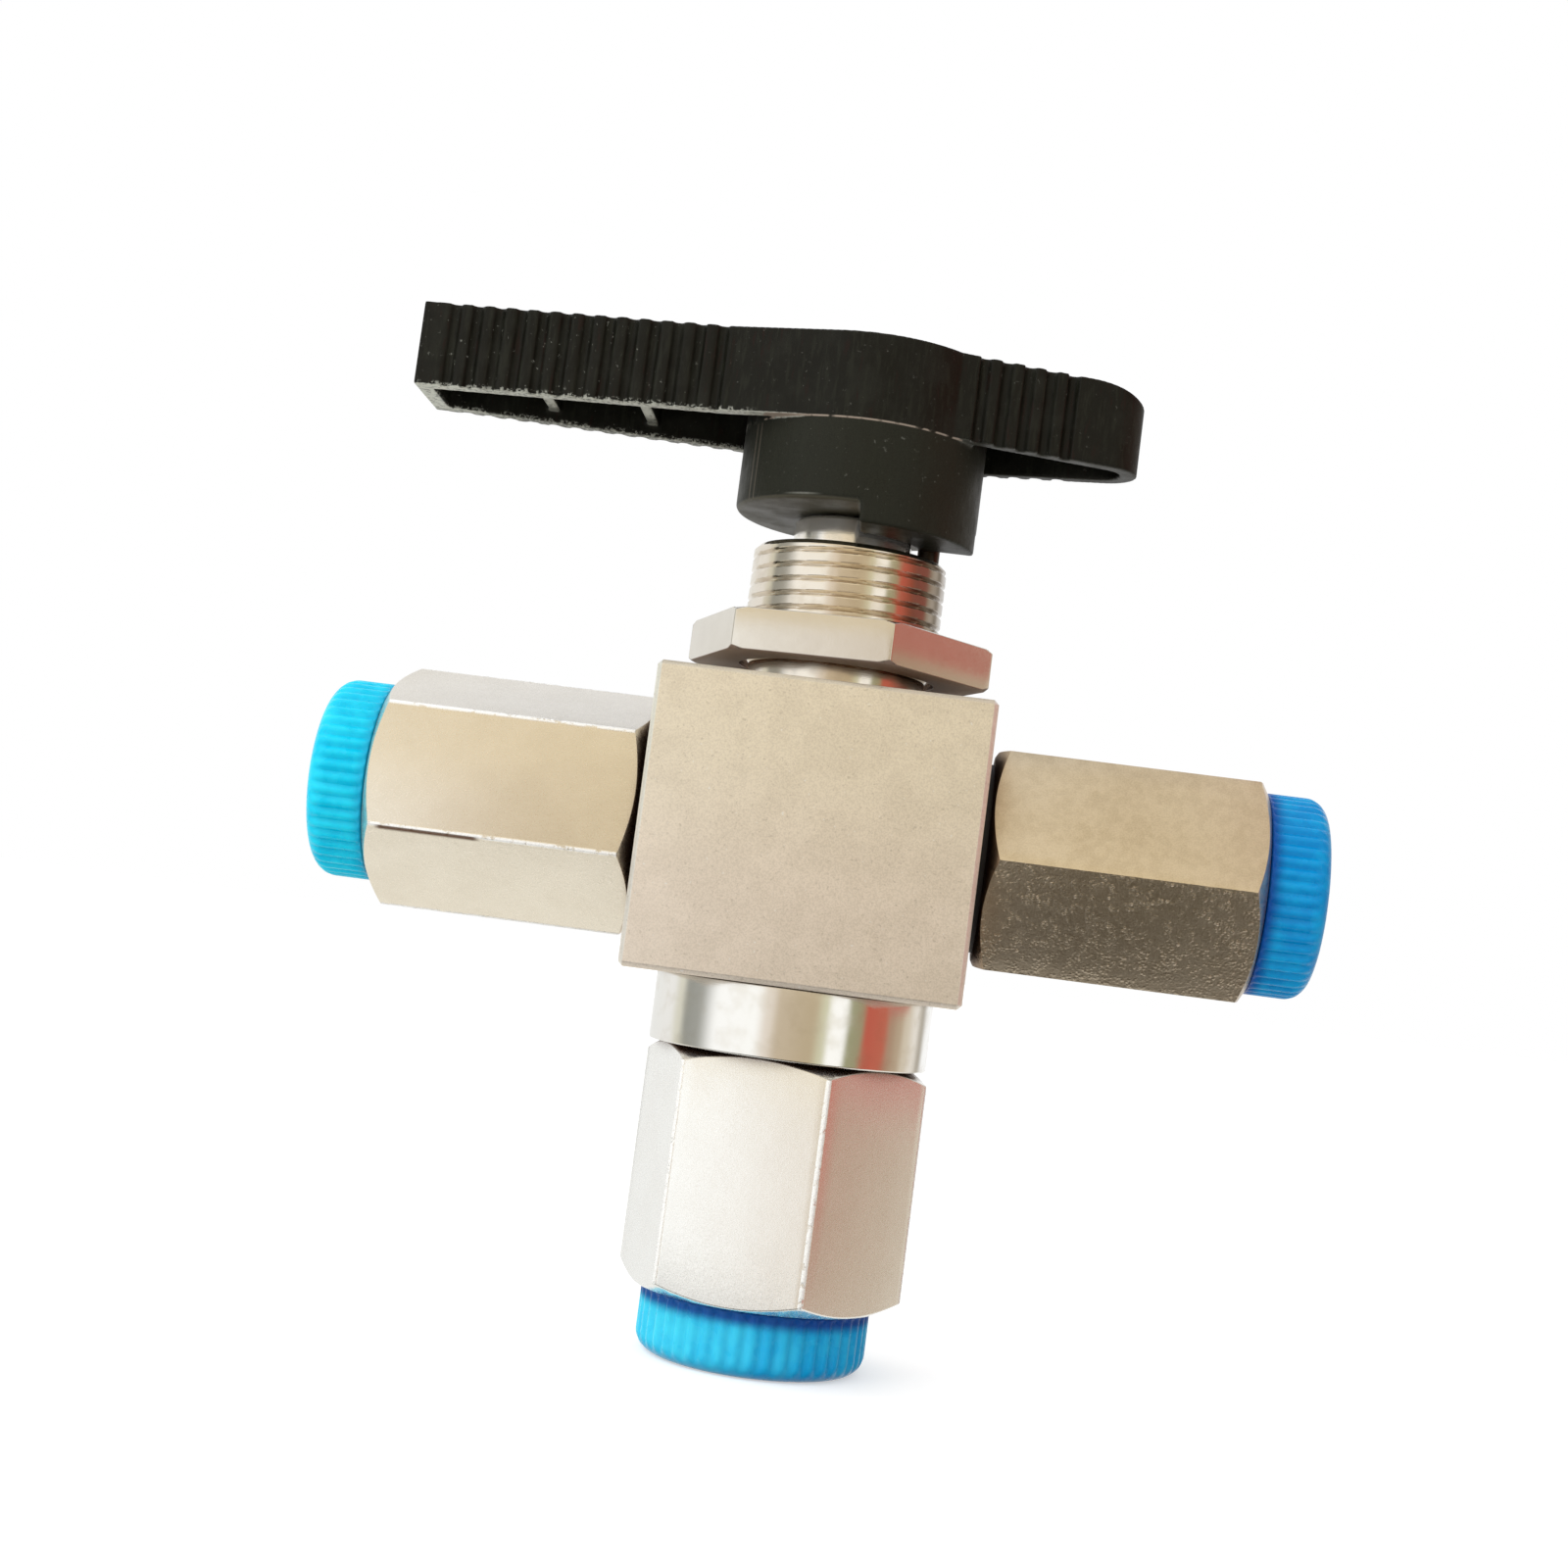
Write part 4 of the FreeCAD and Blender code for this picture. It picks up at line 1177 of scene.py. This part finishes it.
@dataclass
class Cap:
    """A moulded dust cap: a hollow plug under a ribbed head."""

    finishes: Finishes
    side: Side
    face: float
    mouth: float
    radius: float
    length: float
    ribs: int
    plug_length: float = 6.5
    plug_gap: float = 0.06
    cap_gap: float = 0.1
    wall: float = 1.5
    edge: float = 1.7
    dish_depth: float = 1.0
    dish_margin: float = 2.0
    rib_depth: float = 0.28

    def build(self) -> None:
        """Turn the cap, press the ribs in and dress it."""
        cap = turned(self.side.value + "_dust_cap", self.outline(), steps=self.ribs * 8)
        reshape(cap, self.ribbed)
        self.side.stand(cap)
        dress(cap, self.finishes.caps[self.side])
        smooth(cap, 40)
        fasten(cap, self.side.value + "_plug", "blue_plastic", self.side.value + "_cap")

    def outline(self) -> Outline:
        """Section of the cap from the plug's tip, outside first.

        Returns:
            Its corners.
        """
        tip, end = self.face - self.plug_length, self.face + self.length
        root = self.mouth - self.plug_gap
        narrow = root - 0.2
        foot = self.face + self.cap_gap
        hollow = narrow - self.wall
        dish = end - self.dish_depth
        rim = self.radius - self.dish_margin
        ring = self.length - self.cap_gap - self.edge - 0.3
        outside = [(self.radius, foot + 0.3 + ring * n / 12) for n in range(13)]
        return (
            [(0.0, tip)] + arc((narrow - 0.7, tip + 0.7), 0.7, -90, 0)
            + [(root, self.face - 0.9), (root, foot)]
            + arc((self.radius - 0.3, foot + 0.3), 0.3, -90, -15, 4)
            + outside
            + arc((self.radius - self.edge, end - self.edge), self.edge, 8, 90, 12)
            + arc((rim + 0.15, end - 0.15), 0.15, 90, 180, 3)
            + arc((rim - 0.3, dish + 0.3), 0.3, 0, -90, 3)
            + arc((hollow + 0.3, dish - 0.3), 0.3, 90, 180, 3)
            + arc((hollow - 0.5, tip + self.wall + 0.5), 0.5, 0, -90, 4)
            + [(0.0, tip + self.wall)]
        )

    def ribbed(self, radius: float, angle: float, height: float) -> float:
        """Radius of the head once the finger ribs are pressed into it.

        Args:
            radius: Radius of the plain head.
            angle: Angle round the axis in radians.
            height: Height along the port's axis.

        Returns:
            The radius.
        """
        start = self.face + self.cap_gap
        end = self.face + self.length
        skin = ramp_up(radius, self.radius - self.edge * 0.8, self.radius - 0.1)
        along = ramp_up(height, start + 0.1, start + 0.5) * (1 - ramp_up(
            height, end - self.edge * 0.9, end - self.edge * 0.1))
        wave = 0.5 - 0.5 * math.cos(angle * self.ribs)
        return radius - self.rib_depth * skin * along * wave ** 1.5


@dataclass
class Handle:
    """The moulded lever handle."""

    frame: dict
    finishes: Finishes
    grain: float = 0.17
    faces: int = 170000
    nose_start: float = 19.7
    nose_radius: float = 9.5
    nose_depth: float = 5.0
    top: float = 30.5

    def build(self) -> None:
        """Cast the handle with soft edges and dress it."""
        handle = copied("handle", "lever_handle", self.frame)
        apply_modifier(handle, "REMESH", mode="VOXEL", voxel_size=self.grain * MM,
                       use_smooth_shade=True)
        apply_modifier(handle, "SMOOTH", factor=0.5, iterations=4)
        self.round_nose(handle)
        share = self.faces / (2 * len(handle.data.polygons))
        apply_modifier(handle, "DECIMATE", ratio=min(share, 1.0))
        dress(handle, self.finishes.nylon)
        smooth(handle, 60)
        fasten(handle, "lever", "black_nylon", "handle")

    def round_nose(self, handle: Piece) -> None:
        """Draw the top of the tail down towards its tip.

        Args:
            handle: The handle's mesh.
        """
        for vertex in handle.data.vertices:
            x, _, z = vertex.co / MM
            reach = x - self.nose_start
            if reach > 0 and z > self.top - self.nose_depth:
                drop = self.nose_radius - math.sqrt(self.nose_radius ** 2 - reach ** 2)
                share = ramp_up(z, self.top - self.nose_depth, self.top - 0.5)
                vertex.co.z -= drop * share * MM
        handle.data.update()


# Studio


@dataclass
class Studio:
    """Floor, light and camera."""

    place: tuple[float, float, float] = (8.9, -191.4, -21.8)
    turn: tuple[float, float, float] = (94.06, -7.43, 3.14)
    lens: float = 49.26
    floor_level: float = -58.92
    floor_size: float = 6000.0
    lamp_place: tuple[float, float, float] = (-340.0, -360.0, 340.0)
    lamp_size: float = 360.0
    lamp_power: float = 0.6
    lit_side: tuple[float, float, float] = (-0.86, -0.16, 0.48)
    lit: Colour = (1.50, 1.50, 1.50)
    unlit: Colour = (0.22, 0.22, 0.22)
    high_front: Colour = (0.82, 0.71, 0.51)
    high_back: Colour = (0.80, 0.83, 0.90)
    crimson: Colour = (0.52, 0.19, 0.15)
    zenith: Colour = (0.70, 0.66, 0.60)
    low_back: Colour = (0.92, 0.90, 0.84)

    def build(self) -> None:
        """Set the whole studio up."""
        self.add_floor()
        self.light_world()
        self.add_lamp()
        self.add_camera()
        bpy.context.scene.view_settings.view_transform = "Standard"

    def add_floor(self) -> None:
        """Pale floor that keeps the shadow and runs out to white."""
        deselect()
        bpy.ops.mesh.primitive_plane_add(size=self.floor_size * MM,
                                         location=(0, 0, self.floor_level * MM))
        floor = bpy.context.object
        floor.name = "floor"
        floor.visible_glossy = False
        graph = Graph("pale_floor")
        graph.tree.nodes.remove(graph.shader)
        pale = graph.node("ShaderNodeBsdfDiffuse")
        pale.inputs["Color"].default_value = (0.66, 0.66, 0.66, 1.0)
        glow = graph.node("ShaderNodeEmission")
        seen = graph.node("ShaderNodeLightPath").outputs["Is Camera Ray"]
        graph.join(graph.both(seen, 0.5), glow.inputs["Strength"])
        both = graph.node("ShaderNodeAddShader")
        graph.join(pale.outputs[0], both.inputs[0])
        graph.join(glow.outputs[0], both.inputs[1])
        graph.join(both.outputs[0], graph.tree.nodes["Material Output"].inputs["Surface"])
        dress(floor, graph.material)

    def light_world(self) -> None:
        """A white room with darker and coloured panels to mirror, and soft light from the left."""
        world = bpy.data.worlds.new("studio")
        bpy.context.scene.world = world
        world.use_nodes = True
        world.node_tree.nodes.clear()
        nodes = Nodes(world.node_tree, "Generated")
        lean = nodes.node("ShaderNodeVectorMath", operation="DOT_PRODUCT")
        nodes.join(nodes.place, lean.inputs[0])
        lean.inputs[1].default_value = self.lit_side
        soft = nodes.blend(nodes.fit(lean.outputs["Value"], -0.95, 0.95), self.unlit, self.lit)
        path = nodes.node("ShaderNodeLightPath")
        mirrored = nodes.sum(path.outputs["Is Glossy Ray"], path.outputs["Is Transmission Ray"],
                             way="MAXIMUM")
        light = nodes.blend(mirrored, soft, self.mirrored_room(nodes))
        light = nodes.blend(path.outputs["Is Camera Ray"], light, (1.0, 1.0, 1.0))
        background = nodes.node("ShaderNodeBackground")
        nodes.join(light, background.inputs["Color"])
        nodes.join(background.outputs[0], nodes.node("ShaderNodeOutputWorld").inputs[0])

    def mirrored_room(self, nodes: Nodes) -> Socket:
        """The room that the metal mirrors.

        Args:
            nodes: The world's node tree.

        Returns:
            Its colour by direction.
        """
        x, y, z = nodes.parts()
        turn = nodes.sum(x, nodes.both(y, -1.0), way="ARCTAN2")
        panels = self.panel_colours(nodes, turn)
        ahead = nodes.both(nodes.fit(z, 0.12, 0.35), nodes.fit(y, -0.35, -0.65))
        upper = nodes.blend(nodes.both(ahead, 0.95), panels, self.high_front)
        behind = nodes.both(nodes.fit(z, 0.40, 0.65), nodes.fit(y, -0.20, 0.20))
        upper = nodes.blend(behind, upper, self.high_back)
        start, full, fade, end = (math.radians(degrees) for degrees in (86, 90, 108, 118))
        crimson = nodes.both(nodes.fit(z, 0.03, 0.10), nodes.fit(turn, start, full),
                             nodes.fit(turn, fade, end, 1.0, 0.0))
        upper = nodes.blend(crimson, upper, self.crimson)
        upper = nodes.blend(nodes.fit(z, 0.90, 0.99), upper, self.zenith)
        dim = nodes.node("ShaderNodeVectorMath", operation="SCALE")
        nodes.join(panels, dim.inputs[0])
        dim.inputs["Scale"].default_value = 0.16
        below = nodes.blend(nodes.fit(y, -0.30, 0.05), dim.outputs[0], self.low_back)
        return nodes.blend(nodes.fit(z, -0.38, -0.62), upper, below)

    def panel_colours(self, nodes: Nodes, turn: Socket) -> Socket:
        """Ring of panels round the valve.

        Args:
            nodes: The world's node tree.
            turn: Direction from the front, in radians to the right.

        Returns:
            The colour of the panel in that direction.
        """
        ring = nodes.node("ShaderNodeValToRGB")
        ramp = ring.color_ramp
        ramp.interpolation = "EASE"
        stops = self.panels()
        for element, (_, colour) in zip(ramp.elements, (stops[0], stops[-1])):
            element.color = (*colour, 1.0)
        for degrees, colour in stops[1:-1]:
            ramp.elements.new((degrees + 180.0) / 360.0).color = (*colour, 1.0)
        share = nodes.node("ShaderNodeMapRange")
        share.inputs["From Min"].default_value = -math.pi
        share.inputs["From Max"].default_value = math.pi
        nodes.join(turn, share.inputs["Value"])
        nodes.join(share.outputs["Result"], ring.inputs[0])
        return ring.outputs[0]

    @staticmethod
    def panels() -> list[tuple[float, Colour]]:
        """Directions from the front, in degrees to the right, and the colours there."""
        return [
            (-180.0, (1.0, 1.0, 1.0)), (-150.0, (0.86, 0.86, 0.84)),
            (-115.0, (0.88, 0.87, 0.85)), (-102.0, (0.72, 0.70, 0.60)),
            (-92.0, (0.33, 0.33, 0.30)), (-80.0, (0.36, 0.36, 0.33)),
            (-58.0, (1.05, 1.05, 1.04)), (-27.0, (1.05, 1.05, 1.03)),
            (-16.0, (0.80, 0.72, 0.63)), (-6.0, (0.58, 0.48, 0.35)),
            (20.0, (0.52, 0.42, 0.28)), (30.0, (0.65, 0.63, 0.45)),
            (36.0, (1.06, 1.05, 1.02)), (46.0, (1.06, 1.05, 1.02)),
            (52.0, (0.34, 0.33, 0.20)), (61.0, (0.34, 0.31, 0.19)),
            (67.0, (0.52, 0.12, 0.08)), (84.0, (0.52, 0.14, 0.09)),
            (92.0, (0.42, 0.28, 0.19)), (102.0, (0.48, 0.37, 0.26)),
            (112.0, (0.66, 0.58, 0.46)), (126.0, (0.82, 0.77, 0.70)),
            (138.0, (0.44, 0.40, 0.34)), (150.0, (1.0, 1.0, 1.0)),
            (180.0, (1.0, 1.0, 1.0)),
        ]

    def add_lamp(self) -> None:
        """One large soft lamp from the upper left, in front."""
        deselect()
        place = Vector(self.lamp_place) * MM
        bpy.ops.object.light_add(type="AREA", location=place)
        lamp = bpy.context.object
        lamp.name = "key_lamp"
        lamp.data.shape = "SQUARE"
        lamp.data.size = self.lamp_size * MM
        lamp.data.energy = self.lamp_power
        lamp.visible_glossy = False
        lamp.rotation_euler = (-place).to_track_quat("-Z", "Y").to_euler()

    def add_camera(self) -> None:
        """Camera at the photograph's angle, for a square frame of 1600 pixels."""
        camera = bpy.data.cameras.new("camera")
        camera.lens = self.lens
        camera.sensor_width = 36.0
        camera.clip_start = 0.01
        camera.clip_end = 20.0
        made = bpy.data.objects.new("camera", camera)
        bpy.context.scene.collection.objects.link(made)
        made.location = Vector(self.place) * MM
        made.rotation_euler = Euler([math.radians(turn) for turn in self.turn], "XYZ")
        bpy.context.scene.camera = made


def dress_plain_nodes(frame: dict, finishes: Finishes) -> None:
    """Give each CAD node the finish of its slot.

    Args:
        frame: The loaded frame.
        finishes: The materials.
    """
    for entry in frame["record"]["subparts"]:
        node = frame["nodes"][entry["node"]]
        node.data.materials.clear()
        pin = entry["node"].endswith("stop_pin")
        node.data.materials.append(
            finishes.pin if pin else finishes.for_slot(entry["material_slot"]))


def main() -> None:
    """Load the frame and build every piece."""
    logging.basicConfig(level=logging.INFO, format="%(name)s %(message)s")
    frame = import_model()
    finishes = Finishes()
    dress_plain_nodes(frame, finishes)
    Block(frame, finishes).build()
    Neckware(frame, finishes).build()
    for side in (Side.LEFT, Side.RIGHT):
        Connector(frame, finishes, side, SIDE_FACE, SIDE_MOUTH, depth=14.0).build()
    Connector(frame, finishes, Side.BOTTOM, BOTTOM_FACE, BOTTOM_MOUTH, depth=15.0).build()
    for side in (Side.LEFT, Side.RIGHT):
        Cap(finishes, side, SIDE_FACE, SIDE_MOUTH, radius=8.9, length=5.4, ribs=50).build()
    Cap(finishes, Side.BOTTOM, BOTTOM_FACE, BOTTOM_MOUTH, radius=10.1, length=5.8,
        ribs=46).build()
    Handle(frame, finishes).build()
    Studio().build()


if __name__ == "__main__":
    main()
